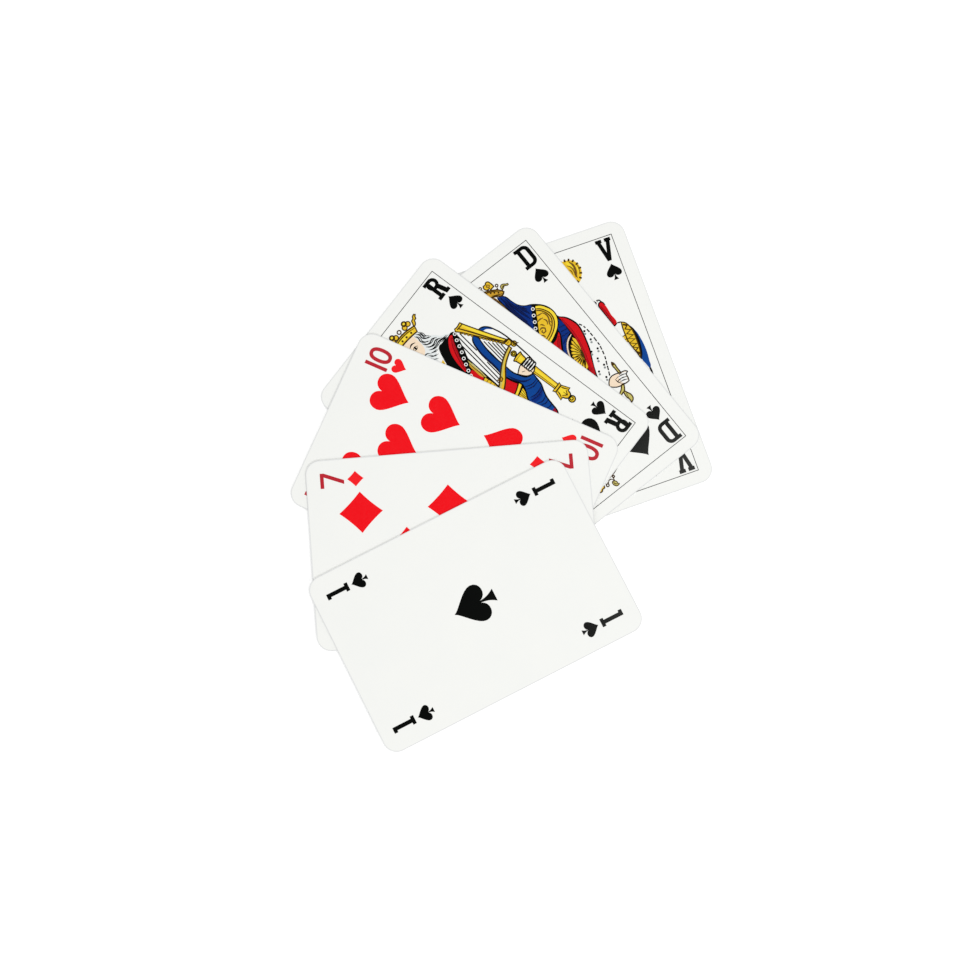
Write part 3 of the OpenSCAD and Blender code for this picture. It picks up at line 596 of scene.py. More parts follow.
pen("black", 0.17, [(0.7, 29.5), (0.9, 27.8), (1.2, 27), (0.8, 26.5), (0.2, 26.4), (-0.4, 26.6)],
    [(-0.8, 25), (0.2, 24.85), (1.2, 25)], [(-3, 29.2), (-1.9, 29.8), (-0.8, 29.2)],
    [(1.2, 29.2), (2.3, 29.8), (3.4, 29.2)], [(-2.7, 29.05), (-1.9, 28.8), (-1.1, 29.05)],
    [(1.5, 29.05), (2.3, 28.8), (3.1, 29.05)])
pen("black", 0.3, [(-3.3, 30.5), (-2, 31), (-0.7, 30.6)], [(1.1, 30.6), (2.4, 31), (3.7, 30.5)], point=0.3)
stamp("black", 1, disc(0.36), [(-1.9, 29.3), (2.3, 29.3)])
outlined("gold", "umber", 2,
    [(-5.2, 34.2), (-3, 35), (0.2, 35.3), (4, 35.1), (7.8, 34), (6.9, 32.2), (3.5, 32.8), (0.2, 33),
     (-2.6, 32.8), (-4.6, 32.3)], width=0.3)
fleurons = [(u + a, v + b) for u, v in ((6.2, 36), (0.4, 36.2), (-4.2, 35.7))
            for a, b in ((-0.8, 0), (0.8, 0), (0, 0.95))]
stamp("gold", 3, disc(0.78), fleurons)
pen("umber", 0.22, *[disc(0.78, *petal) for petal in fleurons], loop=True)
outlined("yellow", "umber", 4, *[disc(0.6, u, v) for u, v in fleurons[2::3]], width=0.18)
outlined("gold", "umber", 3,
    [(7.4, 34), (8.1, 34.9), (8.5, 35.6), (9.2, 35.7), (9.8, 36.3), (10.6, 36.4), (10.9, 36), (10.3, 35.7),
     (9.9, 35.1), (9.2, 35), (8.8, 34.4), (8, 33.9)])
brush("yellow", 4,
    [(-2.6, 33.3), (0.2, 33.6), (3.4, 33.4), (5.9, 32.9), (6.2, 33.6), (3.6, 34.3), (0.2, 34.6),
     (-2.8, 34.3)])
stamp("umber", 5, disc(0.36), [(1.6, 33.9), (3.4, 33.7), (5.4, 33.4), (-0.8, 33.9), (-2.6, 33.6)])
stamp("white", 3, disc(0.6), [(3.2, 36.5), (-2, 36.6)])
pen("umber", 0.24, disc(0.6, 3.2, 36.5), disc(0.6, -2, 36.6), loop=True)
pen("umber", 0.22, [(-4.9, 33.7), (-2.6, 34.4), (0.2, 34.7), (4, 34.5), (7.3, 33.5)],
    [(3.2, 35.2), (3.2, 35.9)], [(-2, 35.2), (-2, 36)])
tell("king: head")

# %% [markdown]
# His robe is black with red lapels and a chain of white rings. The black film is laid first under the
# whole robe, and every colour over it is drawn a little smaller, so the black that is left between the
# colours is the outline. The middle of the card, where the two figures meet, has a slanting gold band.

# %% King: robe, chain and belt
brush("black", 0,
    [(-5.4, 22.3), (-8.6, 22.2), (-11.6, 21.8), (-12.7, 20.3), (-11.2, 16), (-9.4, 10.6), (-8.2, 7.2),
     (-4, 4), (0, 0.9), (4, -2.2), (7.6, -5.4), (9.0, -5.6), (10.3, -8.9), (10.9, -8.9), (12.6, -6.2),
     (13.5, -4), (13.1, -3), (12.1, 1.2), (8.4, 0.1), (8.6, 2.5), (8.8, 6), (9.5, 13.4), (11.3, 17),
     (13, 20.3), (14.2, 22.4), (13.2, 23.5), (11.4, 23.5), (9, 23.7), (7.2, 23.8), (6.3, 22.9), (4.7, 19.8),
     (3.9, 18.3), (0.3, 17.8), (-3.4, 18.4), (-4.4, 20)])
brush("red", 1,
    [(12.2, 23.1), (12.6, 22.7), (11.2, 20.9), (10.1, 19.1), (9, 17.3), (7.9, 15.5), (6.9, 13.7),
     (6.1, 12.2), (5.8, 12.4), (6.2, 15), (7, 17.8), (8.3, 20.3), (9.9, 22.1), (11.2, 23)],
    [(-10.8, 21.2), (-11.3, 20.6), (-9.5, 17.6), (-8.5, 15.8), (-7.7, 14), (-6.9, 12.2), (-6.2, 10.4),
     (-5.6, 11.4), (-6, 14.4), (-6.9, 17.4), (-8, 19.8), (-9.4, 21)],
    [(-6.7, 8.6), (-5.4, 10.3), (-2.4, 8.2), (0.3, 7.4), (2.6, 8.2), (5.6, 10.2), (6.4, 10.8), (7.5, 11.1),
     (7.9, 9), (7.8, 6.6), (6.9, 6.2), (5.4, 3.0), (4, 1), (2.4, 0.6), (0, 2.4), (-3.4, 5)],
    [(8.4, 0.2), (11.8, 1.4), (12.2, -1.2), (12.7, -2.9), (11.2, -3.6), (9.3, -4.1)],
    [(5.2, -2.3), (7.6, -4.6), (8.4, -4.6), (7.8, -1), (7.9, 0.2), (6.8, 1.2)])
pen("crimson", 0.55, [(11.9, 22.4), (10.2, 20.3), (8.6, 17.6), (7.3, 14.8), (6.4, 12.6)],
    [(-10.4, 20.6), (-9, 18.6), (-7.6, 15.4), (-6.2, 11.4)], point=0.6)
pen("crimson", 0.4, [(3.6, 7.8), (4.4, 4.6), (4.2, 1.6)], [(0.3, 7), (1, 4.8), (0.9, 2.2)],
    [(-3, 7.8), (-2, 5.8)])
beads([(13.4, 22.3), (12.2, 20.6), (11.2, 18.8), (10.1, 17), (8.9, 15.3), (7.8, 13.6), (6.7, 11.8),
       (5.9, 10.2), (-11.7, 21.2), (-10.6, 19.5), (-9.7, 17.8), (-8.8, 16.1), (-8, 14.3), (-7.3, 12.5),
       (-6.8, 10.7)])
brush("blue", 1,
    [(-12.3, 20), (-11.4, 19.2), (-10, 16.6), (-8.6, 13.2), (-7.5, 9.2), (-8, 7.6), (-9, 10.6),
     (-10.8, 15.8)])
brush("gold", 1,
    [(-3.2, 18.6), (-4.2, 20.2), (-2, 19.8), (0.3, 19.6), (2.6, 19.8), (4.6, 20.3), (3.9, 18.7),
     (2.2, 18.3), (0.3, 18.1), (-1.6, 18.3)],
    [(6.9, 6), (8.1, 6.3), (8.3, 3), (8, 0.8), (7.4, 1.6), (6.6, 3.4)],
    [(9.4, -4.5), (11.2, -4), (13, -3.3), (13.3, -3.6), (13.2, -4.2), (11.4, -4.8), (9.6, -5.3)],
    [(9.9, -5.7), (12.6, -5.1), (12, -6.6), (10.6, -8.6), (10.2, -7.8)])
brush("ochre", 2, [(8.6, 13), (8.4, 11), (8.2, 7.5), (8, 6.6), (7.7, 7.2), (7.8, 10), (8.1, 12.4)])
brush("olive", 1,
    [(9.2, 14), (9.1, 11.4), (8.8, 7.8), (8.5, 6), (8.3, 6.2), (8.5, 8), (8.6, 11), (8.8, 13)])
brush("yellow", 2, [(9.7, -4.5), (11.2, -4.2), (12.9, -3.5), (13, -3.9), (11.4, -4.5), (9.8, -5)],
    [(11, -5.6), (11.9, -5.4), (11.3, -6.9), (10.9, -7.4)])
pen("umber", 0.26, [(10.6, -5.6), (10.5, -8)], [(11.2, -5.4), (10.9, -7.6)], [(12, -5.3), (11.4, -7)],
    [(7.1, 5), (8.2, 5.1)], [(7, 3.9), (8.2, 3.8)], [(7.2, 2.6), (8.2, 2.5)])
pen("umber", 0.2, [(-3, 19.2), (0.3, 18.9), (4, 19.4)])
belt(3, [(-8.3, 7), (-4.2, 4.1), (0, 1.2), (3, -1.1), (6, -3.3)], "crimson", lozenge(0.7, 0.5), -0.74,
     (-5, -2.5, 0, 2.5, 5))
tell("king: robe")

# %% [markdown]
# He carries a harp, whose pillar slopes across his shoulder, and a sceptre in his hand. The strings are
# straight strokes from the chain and the pillar down to the arm. Those on the right are evenly spaced.

# %% King: harp, sleeve, hand and sceptre
left_strings = [
    [(14.45, 21.2), (13.4, 13.6)], [(13.45, 21.6), (10.4, 2.4)], [(11.8, 18.5), (9.35, 1.9)],
    [(9.75, 15.7), (8.5, 1.4)], [(12.45, 8.8), (11.6, 3)]]
right_strings = [list(pair) for pair in zip(between((17.05, 13.6), (19.65, 8.9), 5),
                                            between((15.7, 5.2), (19.05, 6.2), 5))]
pen("black", 0.24, *left_strings, *right_strings, point=0.9)
pen("black", 0.14, [(16.05, 12.8), (14.95, 5.2)])
brush("black", 0, [(15.4, 16.9), (16.6, 17.4), (17.4, 15.9), (17.1, 15), (16.6, 14.9), (16.2, 16)])
brush("blue", 1,
    [(15.2, 16.6), (14.1, 14.1), (13.2, 10.6), (12.8, 6.2), (12.2, 2.8), (14.8, 4.2), (15, 8), (15.7, 12),
     (16.8, 15.4), (16.3, 17.4)],
    [(19, 17.2), (20.3, 16.7), (21.4, 15.4), (22.2, 13.2), (21.5, 14.2), (20.6, 15.4), (19.4, 16)],
    [(12.1, 1.8), (13.4, 2.9), (14.8, 3.8), (14.6, 0.4), (15.1, -1.8), (16.1, -3.8), (18.1, -5),
     (17.6, -6.8), (17, -8.9), (15.8, -10.8), (14.7, -13), (14, -15.6), (13.3, -18), (12.8, -18.6),
     (12.3, -17), (11.4, -13), (10.6, -9.4), (11.5, -7.9), (12.7, -6), (13.4, -4.2), (12.8, -1.4)])
brush("crimson", 3, [(12.25, -16.8), (13.65, -16.7), (13.3, -18), (12.8, -18.6)])
pen("black", 0.28, [(16.1, 17.3), (15.1, 16.5), (14, 14.1), (13.1, 10.6), (12.7, 6.2), (12.1, 3.2)],
    [(16.9, 15.4), (15.8, 12), (15.1, 8), (14.9, 4.6)],
    [(18.9, 17.3), (20.3, 16.8), (21.5, 15.4), (22.2, 13), (22.6, 10), (22.5, 6), (22.1, 1), (21.8, -1.6)],
    [(12.2, 1.3), (12.7, -1.4), (13.4, -4.2), (12.6, -6.1), (10.5, -9.2), (11.3, -13), (12.2, -17),
     (12.8, -18.8), (13.4, -18), (14.1, -15.6), (14.8, -13), (15.9, -10.8), (17.1, -8.9), (17.7, -6.8),
     (18.2, -5)],
    [(14.9, 3.6), (14.7, 0.4), (15.2, -1.6), (16.1, -3.8), (18.2, -5)], point=0.7)
pen("navy", 0.36, [(14.6, 15.4), (13.4, 11.4), (13, 7.2), (12.7, 4.2)],
    [(12.9, 0.9), (13.4, -1.8), (14.6, -4.2), (16.6, -5.4)], point=0.3)
brush("indigo", 2, [(10.9, -9.2), (13.4, -9.4), (16.4, -9.2), (15.6, -10.6), (13.6, -11.4), (11.3, -11)])
pen("navy", 0.24, [(13.3, -5.4), (15.2, -6.6), (17.5, -6.8)], [(13, -6.3), (15, -7.4), (17.3, -7.5)],
    [(11.6, -8.8), (13.8, -9.6), (16.6, -9.4)], [(11.3, -9.7), (13.6, -10.4), (16, -10.3)],
    [(11.5, -11.6), (13, -12.5), (14.9, -12.3)], [(11.9, -12.9), (13.2, -13.7), (14.5, -13.6)],
    [(12, -14.8), (13.2, -15.4), (14, -15.2)], [(12.4, -17), (13.5, -16.9)], [(12.6, -17.6), (13.3, -17.5)],
    point=0.5)
scallops = between((15.1, 20.9), (16.45, 17.7), 4) + between((17.5, 15.2), (20.4, 8.6), 8)
stamp("umber", 1, disc(0.6), scallops)
stamp("gold", 2, disc(0.36), scallops)
pillar = [
    (14.1, 22.6), (14.6, 23.3), (15.3, 23.1), (17.2, 23.3), (17.4, 22.4), (18.6, 18.4), (19.8, 14.6),
    (21, 10.8), (22, 7.9), (20.7, 8.2), (19.6, 10.6), (18.5, 13), (17.4, 15.6), (16.4, 17.9), (15.2, 20.6)]
outlined("gold", "umber", 3, pillar,
    [(20.4, 8.3), (21.4, 8.5), (22.2, 8), (22.2, 6.8), (21.4, 6.3), (20.5, 6.7)])
brush("yellow", 4,
    [(16.5, 22.9), (17.1, 22.7), (18.4, 18.6), (19.6, 14.8), (20.9, 10.8), (21.6, 8.6), (21, 9), (20, 11.4),
     (18.8, 14.6), (17.5, 18.4)])
pen("umber", 0.3, [(15.4, 22.6), (17, 18.6), (18.5, 14.4), (19.8, 11), (20.9, 8.6)],
    [(14.9, 22.5), (17.4, 22.4)], point=0.8)
outlined("gold", "umber", 4, disc(0.85, 22.2, 5.7))
pen("umber", 0.24, [(22.6, 5.9), (22.2, 6.1), (21.9, 5.7), (22.2, 5.3), (22.9, 5.1), (23.4, 4.7)],
    [(22.8, 6.2), (23.2, 5.8)], [(20.9, 7.4), (21.8, 7.3)])
outlined("gold", "umber", 3,
    [(8.1, 0.9), (10, 2), (12, 3.2), (15, 4.85), (18, 5.95), (20.6, 6.45), (20.6, 5.4), (18, 4.75),
     (15, 3.45), (12, 1.2), (10, -0.1), (8.3, -0.9)], width=0.3)
brush("olive", 4,
    [(8.3, 0.8), (10, 1.8), (12, 3), (15, 4.65), (18, 5.75), (20.4, 6.2), (20.4, 5.9), (18, 5.35),
     (15, 4.15), (12, 2.3), (10, 1), (8.4, 0.2)])
outlined("ochre", "umber", 5, [(9.7, 2.7), (11.4, 2.6), (11.2, 1.7), (10.3, 1.4)])
outlined("gold", "black", 2,
    [(17.7, 2.4), (19.5, 2.7), (21.4, 2.5), (21, 1.6), (20.8, 0.3), (20.6, -0.5), (18.4, -0.5), (18.2, 0.6),
     (18.1, 1.6)],
    [(18.4, -3.7), (20.6, -3.7), (20.3, -13.2), (18.5, -13.2)],
    [(17.5, -13.1), (20.9, -13.1), (20.6, -14), (17.8, -14)],
    [(17.8, -14.1), (20.6, -14.1), (21.6, -16.8), (20.6, -16.8), (20.2, -18), (19.6, -18.4), (18.9, -18.4),
     (18.2, -17.8), (17.8, -16.8), (16.8, -16.8)], disc(1.05, 19.2, -19.4), disc(0.85, 19.6, 3.8))
brush("yellow", 3, [(18.9, 2.2), (20.4, 2.2), (20.2, -0.3), (19, -0.3)],
    [(19.2, -4.6), (20.1, -4.6), (19.9, -13), (19.2, -13)],
    [(18.5, -14.4), (20, -14.4), (20.5, -16), (19.3, -17.2), (18.1, -16)], disc(0.6, 19.1, -19.3),
    disc(0.45, 19.6, 3.8))
pen("black", 0.22, [(18.3, 1.9), (20.8, 1.9)], [(19, -4.4), (19, -13)],
    [(18.2, -16.3), (19.3, -17.5), (20.3, -16.2)], [(19.3, -15.9), (19.3, -17.4)],
    [(18.3, -18.6), (20.1, -18.6)], [(17.4, -16.6), (18.2, -15.2), (18.4, -14.3)],
    [(21, -16.6), (20.3, -15.2), (20.1, -14.3)])
pen("black", 0.2, disc(0.5, 19.2, -19.2), disc(0.4, 19.6, 3.8), loop=True)
outlined("flesh", "black", 4,
    [(15.2, -1.2), (16.6, -0.5), (17.9, -0.1), (21.3, -0.4), (21.7, -1.2), (21.6, -2.4), (21.4, -3.6),
     (20.6, -3.9), (18.6, -4.7), (16.9, -4.2), (15.9, -2.9)], width=0.22)
fingers = [(0, v) for v in (-0.75, -1.6, -2.45, -3.3)]
finger = [(18.2, 0), (18.5, 0.36), (20.7, 0.4), (21.6, 0.05), (21.2, -0.34), (18.5, -0.36)]
stamp("white", 5, finger, fingers)
pen("black", 0.22, *[moved(finger, *place) for place in fingers], loop=True)
pen("black", 0.24, [(18.1, -0.2), (18, -3.7)], [(16.5, -1.8), (17.4, -2.4)], [(18.2, -3.8), (20.4, -4)])
press("king")

# %% [markdown]
# The queen's head is drawn in the same way, with a softer face, parted brown hair and a smaller crown.
# A long blue veil falls from the crown over her shoulder.

# %% Queen: head, hair and crown
queen_face = [
    (-3.4, 32.6), (-3.5, 30), (-3, 27.6), (-1.6, 25.8), (0.6, 25), (2.8, 25.8), (4.2, 27.6), (4.7, 30),
    (4.6, 32.4), (2.6, 33.2), (0.6, 33.5), (-1.6, 33.2)]
queen_chin = queen_face[1:8]
brush("flesh", 0, queen_face,
    [(-1.5, 25.4), (-1.6, 23.4), (-2.8, 21.6), (0.6, 20), (4, 21.6), (2.8, 23.4), (2.7, 25.4), (0.6, 24.7)])
brush("brown", 1,
    [(0.6, 33.4), (2.4, 33.2), (5.4, 32), (6.1, 29.4), (6.4, 26.6), (6.2, 24.4), (5, 23.2), (3.4, 23.4),
     (4.4, 25.4), (4.7, 27.6), (4.3, 30), (3, 31.8), (0.9, 32.6)],
    [(0.5, 33.4), (-1.4, 33.2), (-4.2, 32), (-4.9, 29.4), (-5.2, 26.6), (-5, 24.2), (-3.8, 23),
     (-2.2, 23.4), (-3.2, 25.4), (-3.5, 27.6), (-3.1, 30), (-1.8, 31.8), (0.3, 32.6)])
pen("umber", 0.2, [(1.4, 33), (4, 31.8), (5.1, 29.4), (5, 27), (5.3, 24.8), (4.6, 23.6)],
    [(5.4, 31.4), (5.7, 29), (5.6, 26.8), (5.8, 24.6)],
    [(-0.2, 33), (-2.8, 31.8), (-3.9, 29.4), (-3.8, 27), (-4.1, 24.8), (-3.4, 23.4)],
    [(-4.2, 31.4), (-4.5, 29), (-4.4, 26.8), (-4.6, 24.4)])
pen("black", 0.16, [(1, 29.4), (1.2, 28.2), (1.3, 27.5), (0.9, 27.2), (0.4, 27.2)],
    [(-2.3, 29.3), (-1.2, 29.8), (-0.2, 29.3)], [(1.4, 29.3), (2.4, 29.8), (3.5, 29.3)],
    [(-2.1, 29.2), (-1.2, 28.95), (-0.4, 29.2)], [(1.6, 29.2), (2.4, 28.95), (3.3, 29.2)],
    [(-2.5, 30.4), (-1.3, 30.8), (0, 30.5)], [(1.2, 30.5), (2.5, 30.8), (3.7, 30.4)],
    [(-1.6, 25.4), (-1.7, 23.4), (-2.9, 21.7)], [(2.8, 25.4), (2.9, 23.4), (4.1, 21.7)], queen_chin)
brush("red", 1,
    [(-0.3, 26.3), (0.2, 26.5), (0.6, 26.4), (1, 26.5), (1.5, 26.3), (1, 25.9), (0.6, 25.8), (0.2, 25.9)])
stamp("black", 1, disc(0.3), [(-1.2, 29.35), (2.4, 29.35)])
outlined("ochre", "umber", 3,
    [(-3.6, 33), (-1.6, 34.3), (1, 35.1), (4.2, 35), (6.6, 34), (8.7, 32.3), (9.2, 31.4), (8.1, 30.8),
     (6.5, 31.6), (5, 32.3), (2.6, 32.6), (0.6, 32.5), (-1.6, 32), (-3.2, 31)], width=0.28)
outlined("gold", "umber", 4,
    [(5.6, 35), (5, 35.4), (4.8, 36.1), (5.1, 36.8), (5.9, 36.8), (6.4, 37.2), (7.2, 37), (7.5, 36.3),
     (7.7, 35.4), (7.7, 34.7), (6.9, 34.6), (6.3, 34.5), (6.2, 35.1)], width=0.24)
outlined("olive", "umber", 4,
    [(8.7, 31.9), (9.2, 32.2), (9.2, 33.1), (9.7, 33.6), (10.5, 33.5), (11.2, 33), (11.8, 32.8),
     (11.8, 32.4), (11.2, 32.4), (10.5, 32.8), (9.9, 32.5)],
    [(2.1, 36.8), (2.3, 37.4), (2.1, 38.2), (1.6, 38.7), (1, 38.7), (0.6, 38.5), (1, 38.2), (0.9, 37.6),
     (1.2, 37.1), (1.6, 36.8)], width=0.18)
outlined("ochre", "umber", 5, [(5.7, 36), (6.3, 36.5), (6.9, 35.9), (6.4, 35.3)], width=0.18)
stamp("umber", 6, disc(0.28),
    [(5.6, 33.6), (6.6, 33), (7.6, 32.2), (4.2, 33.8), (2.6, 33.9), (0.6, 33.7), (-1.2, 33.2), (1.3, 36.7),
     (3.25, 36.25)])
pen("umber", 0.22, disc(0.42, 8.6, 34.4), disc(0.42, 3.85, 36.75), disc(0.32, 0.7, 35.7), loop=True)
pen("umber", 0.22, [(1.25, 36.8), (1.05, 36.1), (1, 35.2)],
    [(1.3, 36.5), (1.9, 35.9), (2.5, 35.8), (3.1, 36.2)], [(1.8, 37), (1.7, 37.8), (1.2, 38.3)],
    [(3.9, 36.4), (4.4, 35.1)], [(8.4, 34), (8.2, 33.4), (7.2, 33.6)], [(8.2, 33.4), (8.3, 32.7)],
    [(-3.2, 32.4), (-1.4, 33.7), (1, 34.5), (4.2, 34.5), (6.4, 33.6), (8.4, 32)],
    [(5.2, 32.7), (6.8, 31.9), (8.5, 31.2)], [(9.4, 32.6), (10.1, 33), (11, 32.7)])
tell("queen: head")

# %% [markdown]
# Her robe hides under a red cloak with a white ermine sleeve. A large gold disc lies over the arm, and a
# pleated gold fan opens below it. The fan's petals are the same kite placed round one point, and the
# sleeve's ermine is a set of dark dots, each with a grey tail.

# %% Queen: veil, disc, fan, cloak and sleeve
KITE_FOOT, KITE_SHOULDER = 0.15, 0.8


def kite(heart, tip, half):
    way = Vector(tip) - Vector(heart)
    side = Vector((-way.y, way.x)).normalized() * half
    foot, shoulder = Vector(heart) + way * KITE_FOOT, Vector(heart) + way * KITE_SHOULDER
    return [tuple(foot), tuple(shoulder + side), tip, tuple(shoulder - side)]


brush("black", 0,
    [(-4.8, 22.4), (-6.2, 23.2), (-8.4, 21.7), (-11.4, 20.4), (-12.6, 18.8), (-11, 14.4), (-9.2, 9.6),
     (-8, 6.6), (-4, 3.6), (0, 0.6), (4, -2.4), (8, -5.4), (11, -7.4), (13.6, -8.4), (15.2, -8.3),
     (16.3, -5.4), (17.4, -3), (18.9, 0), (20.1, 3.6), (20.7, 6), (21, 8.6), (20.6, 10.6), (19.4, 13),
     (17.6, 15), (17.7, 16), (17.5, 17.9), (16.6, 20), (15.2, 21.6), (13.4, 23), (11.6, 23.9), (10.1, 25.5),
     (9.4, 27.2), (8.3, 30.4), (7.2, 30.9), (6.2, 31.4), (6, 29.8), (6.3, 27), (5.6, 24.6), (4.6, 22.8),
     (3, 21.8), (-2.6, 21.4)])
brush("indigo", 1,
    [(6.3, 31.2), (7.2, 30.8), (8.1, 30.2), (8.7, 28.6), (9.3, 26.9), (9.9, 25.3), (11.1, 23.9),
     (12.3, 23.2), (13.2, 22.6), (12.3, 21.3), (11.1, 19.5), (10, 17.7), (9, 15.9), (8.6, 17.2),
     (7.8, 20.6), (7, 24), (6.7, 26.6), (6.5, 29)],
    [(-4.8, 22.8), (-6.2, 22.9), (-8.4, 21.4), (-11.2, 20.1), (-12.2, 18.8), (-10.8, 14.4), (-9, 9.6),
     (-7.9, 7.1), (-6.6, 9.6), (-6.2, 13.4), (-5.6, 17.4), (-4.6, 20.6)],
    [(15, 11.4), (16.3, 12.7), (17.1, 14), (17.5, 12.4), (17.4, 10.2), (17.3, 8.3), (15.6, 7.5),
     (14.1, 6.2), (12.9, 4.4), (12.2, 3), (12, 4.6), (12.8, 6.2), (13.9, 8), (14.8, 9.8)],
    [(-7.2, 6.4), (-5.6, 7.4), (-2.4, 6.1), (0.6, 5.4), (3, 6), (6.4, 6.4), (9.6, 7.2), (11, 4.4),
     (11.6, 1.2), (12, -1.4), (12.8, -4), (11, -5), (8, -4.2), (4, -1.4), (0, 1.4), (-4, 4)])
pen("navy", 0.55, [(7.1, 30.4), (7.6, 27), (7.9, 23.6), (9, 19.2)],
    [(8, 29.4), (8.6, 26), (9.4, 22.6), (10.3, 19.4)], [(9.4, 25.6), (10.4, 23), (11.2, 20.8)],
    [(6.9, 28), (7.2, 24.8), (8.2, 20.4), (8.9, 17.2)], [(10.6, 24), (11.4, 22.4)],
    [(-6, 21.8), (-7, 17.4), (-7.4, 11)], [(-8.6, 20.4), (-8.8, 16), (-8.2, 10)],
    [(-10.8, 19.4), (-10.2, 15.6), (-8.9, 11)], point=0.3)
pen("navy", 0.42, [(15.6, 11.6), (17.3, 11.2)], [(15.2, 10.2), (17.3, 9.8)], [(14.6, 8.8), (16.9, 8.6)],
    [(13.4, 6.6), (15, 7.6)], [(-4, 5.6), (0.4, 3.2), (5, 0.4), (9.6, -3.4)],
    [(1.6, 5), (6, 2.6), (10.6, -1)], [(6.8, 5.8), (9.4, 4.4), (11, 2.2)])
pen("flesh", 0.36, [(12.4, 1.9), (12.9, 3.6), (14.1, 5.6), (15.6, 6.9), (17.3, 7.6)])
brush("red", 1,
    [(10.8, 8.6), (12.4, 9.1), (14.5, 10.6), (14.5, 10.2), (13.5, 8.4), (12.2, 6.4), (11.6, 5.2),
     (10.8, 6.6), (10.2, 8)],
    [(-4.3, 19.6), (-2.2, 20.2), (0.6, 19.2), (3.4, 20.2), (5.6, 19.8), (7, 17.2), (7.8, 14.6), (6.6, 11.4),
     (6.4, 8.4), (9.4, 7.8), (6.4, 6.8), (3, 6.4), (0.6, 5.8), (-2.4, 6.5), (-5.6, 7.8), (-5.8, 12),
     (-5.2, 16.6)])
pen("crimson", 0.55, [(11.2, 6), (12.4, 7.8), (13.8, 9.6)], [(4.8, 19.4), (5.8, 14.6), (4.8, 8)],
    [(-3.4, 19.2), (-4.2, 14), (-3.8, 8)], point=0.4)
HUB = (16.5, 0.2)
petal_tips = [
    (16.9, 6.6), (15.9, 5.9), (14.9, 5), (14.1, 4), (13.5, 2.9), (13, 1.8), (12.8, 0.8), (12.8, -0.3),
    (13, -1.3), (13.3, -2.3), (13.7, -3.3), (14.1, -4.2)]
petals = [kite(HUB, tip, 0.56) for tip in petal_tips]
pleats = [[HUB, ((a[0] + b[0]) / 2, (a[1] + b[1]) / 2)] for a, b in zip(petal_tips, petal_tips[1:])]
petal_lights = [kite((16.4, 1), tip, 0.2)
                for tip in ((16.5, 6), (15.4, 5), (14.4, 4), (13.8, 2.8), (13.5, 1.6))]
beads([(12.85, 21.4), (11.75, 19.6), (10.7, 17.75), (9.6, 16), (8.6, 14.2), (7.7, 12.4), (7.1, 10.6),
       (6.9, 8.8)])
brush("gold", 2,
    [(13.9, 21.5), (15.3, 20.5), (16.4, 19), (17.1, 17.4), (17.2, 15.8), (16.8, 14.4), (15.9, 13),
     (14.6, 11.8), (13, 10.8), (11.4, 10), (10, 9.4), (8.9, 9.8), (8.7, 11.6), (9.3, 13.4), (10.3, 15.3),
     (11.4, 17.1), (12.5, 19), (13.4, 20.6)],
    [(-3.4, 21.4), (-1.6, 20.2), (0.6, 19.5), (2.8, 20.2), (4.8, 21.6), (4.4, 20.2), (2.6, 19), (0.6, 18.2),
     (-1.6, 19), (-3.2, 20)],
    [(-1, 18.2), (0.6, 17.6), (2.2, 18.2), (2, 12), (2.4, 6.6), (0.6, 6), (-1.2, 6.6), (-0.8, 12)], *petals)
pen("umber", 0.26, *pleats, point=0.6)
brush("yellow", 3,
    [(14.1, 21.6), (15.5, 20.6), (16.5, 19.1), (17.2, 17.5), (17.3, 15.8), (16.9, 14.3), (16, 12.9),
     (14.7, 11.7), (13, 10.7), (11.4, 9.9), (10, 9.4), (10.2, 10.1), (12.6, 11.2), (14.4, 12.4),
     (15.7, 13.9), (16.3, 15.6), (16.3, 17.3), (15.6, 18.9), (14.6, 20.3), (13.7, 21)], *petal_lights)
pen("umber", 0.22,
    [(13.5, 20.9), (14.6, 20.1), (15.6, 18.7), (16.2, 17.2), (16.2, 15.6), (15.6, 14), (14.3, 12.5),
     (12.5, 11.3), (9.8, 10.2)],
    [(13.2, 20.4), (14.2, 19.7), (15.1, 18.4), (15.6, 17), (15.6, 15.6), (15, 14.4), (13.8, 13.1),
     (12.2, 12), (9.4, 10.9)], point=0.8)
pen("brown", 0.28, [(14.4, 18.6), (15, 17.4), (14.9, 16), (14.2, 14.8), (13.8, 13.6)],
    [(12.1, 19), (13.2, 18.7), (14.4, 18.6)], [(11.4, 17.2), (12.4, 17.4), (13.6, 17.2)],
    [(13.4, 16.8), (13.9, 15.8), (13.4, 14.6)], [(11.4, 16), (12, 15.6), (12.4, 14.8)],
    [(10.2, 14.6), (11.2, 14.9), (12, 14.2), (11.6, 13.3), (10.7, 13.2), (10.5, 13.9), (11, 14.2)],
    [(9.6, 13.2), (10.2, 12.6), (10.4, 11.8)], [(14.6, 15.2), (14.8, 14.4)])
stamp("brown", 4, lozenge(0.8, 0.9), [(0.6, v) for v in (16, 13, 10, 7.6)])
brush("brown", 4, [(15.4, 0.3), (15.9, 1), (16.4, 0.4), (15.9, -0.3)])
brush("red", 4,
    [(17.6, 14.2), (18.9, 12.9), (20.1, 10.4), (20.5, 8.6), (20.2, 6), (19.6, 3.6), (18.4, 0), (17, -3),
     (16, -5.4), (15.1, -7.4), (14.5, -5.2), (15.3, -2.8), (16.4, 0), (17.4, 4), (17.9, 8), (17.9, 12)])
brush("crimson", 5, [(14.5, -5.1), (15.6, -4.6), (16.3, -4.8), (15.15, -7.3)])
pen("crimson", 0.5, [(17.8, 13.2), (18, 10), (17.85, 6), (17, 1.6), (15.8, -2.2), (14.9, -5.2)], point=0.6)
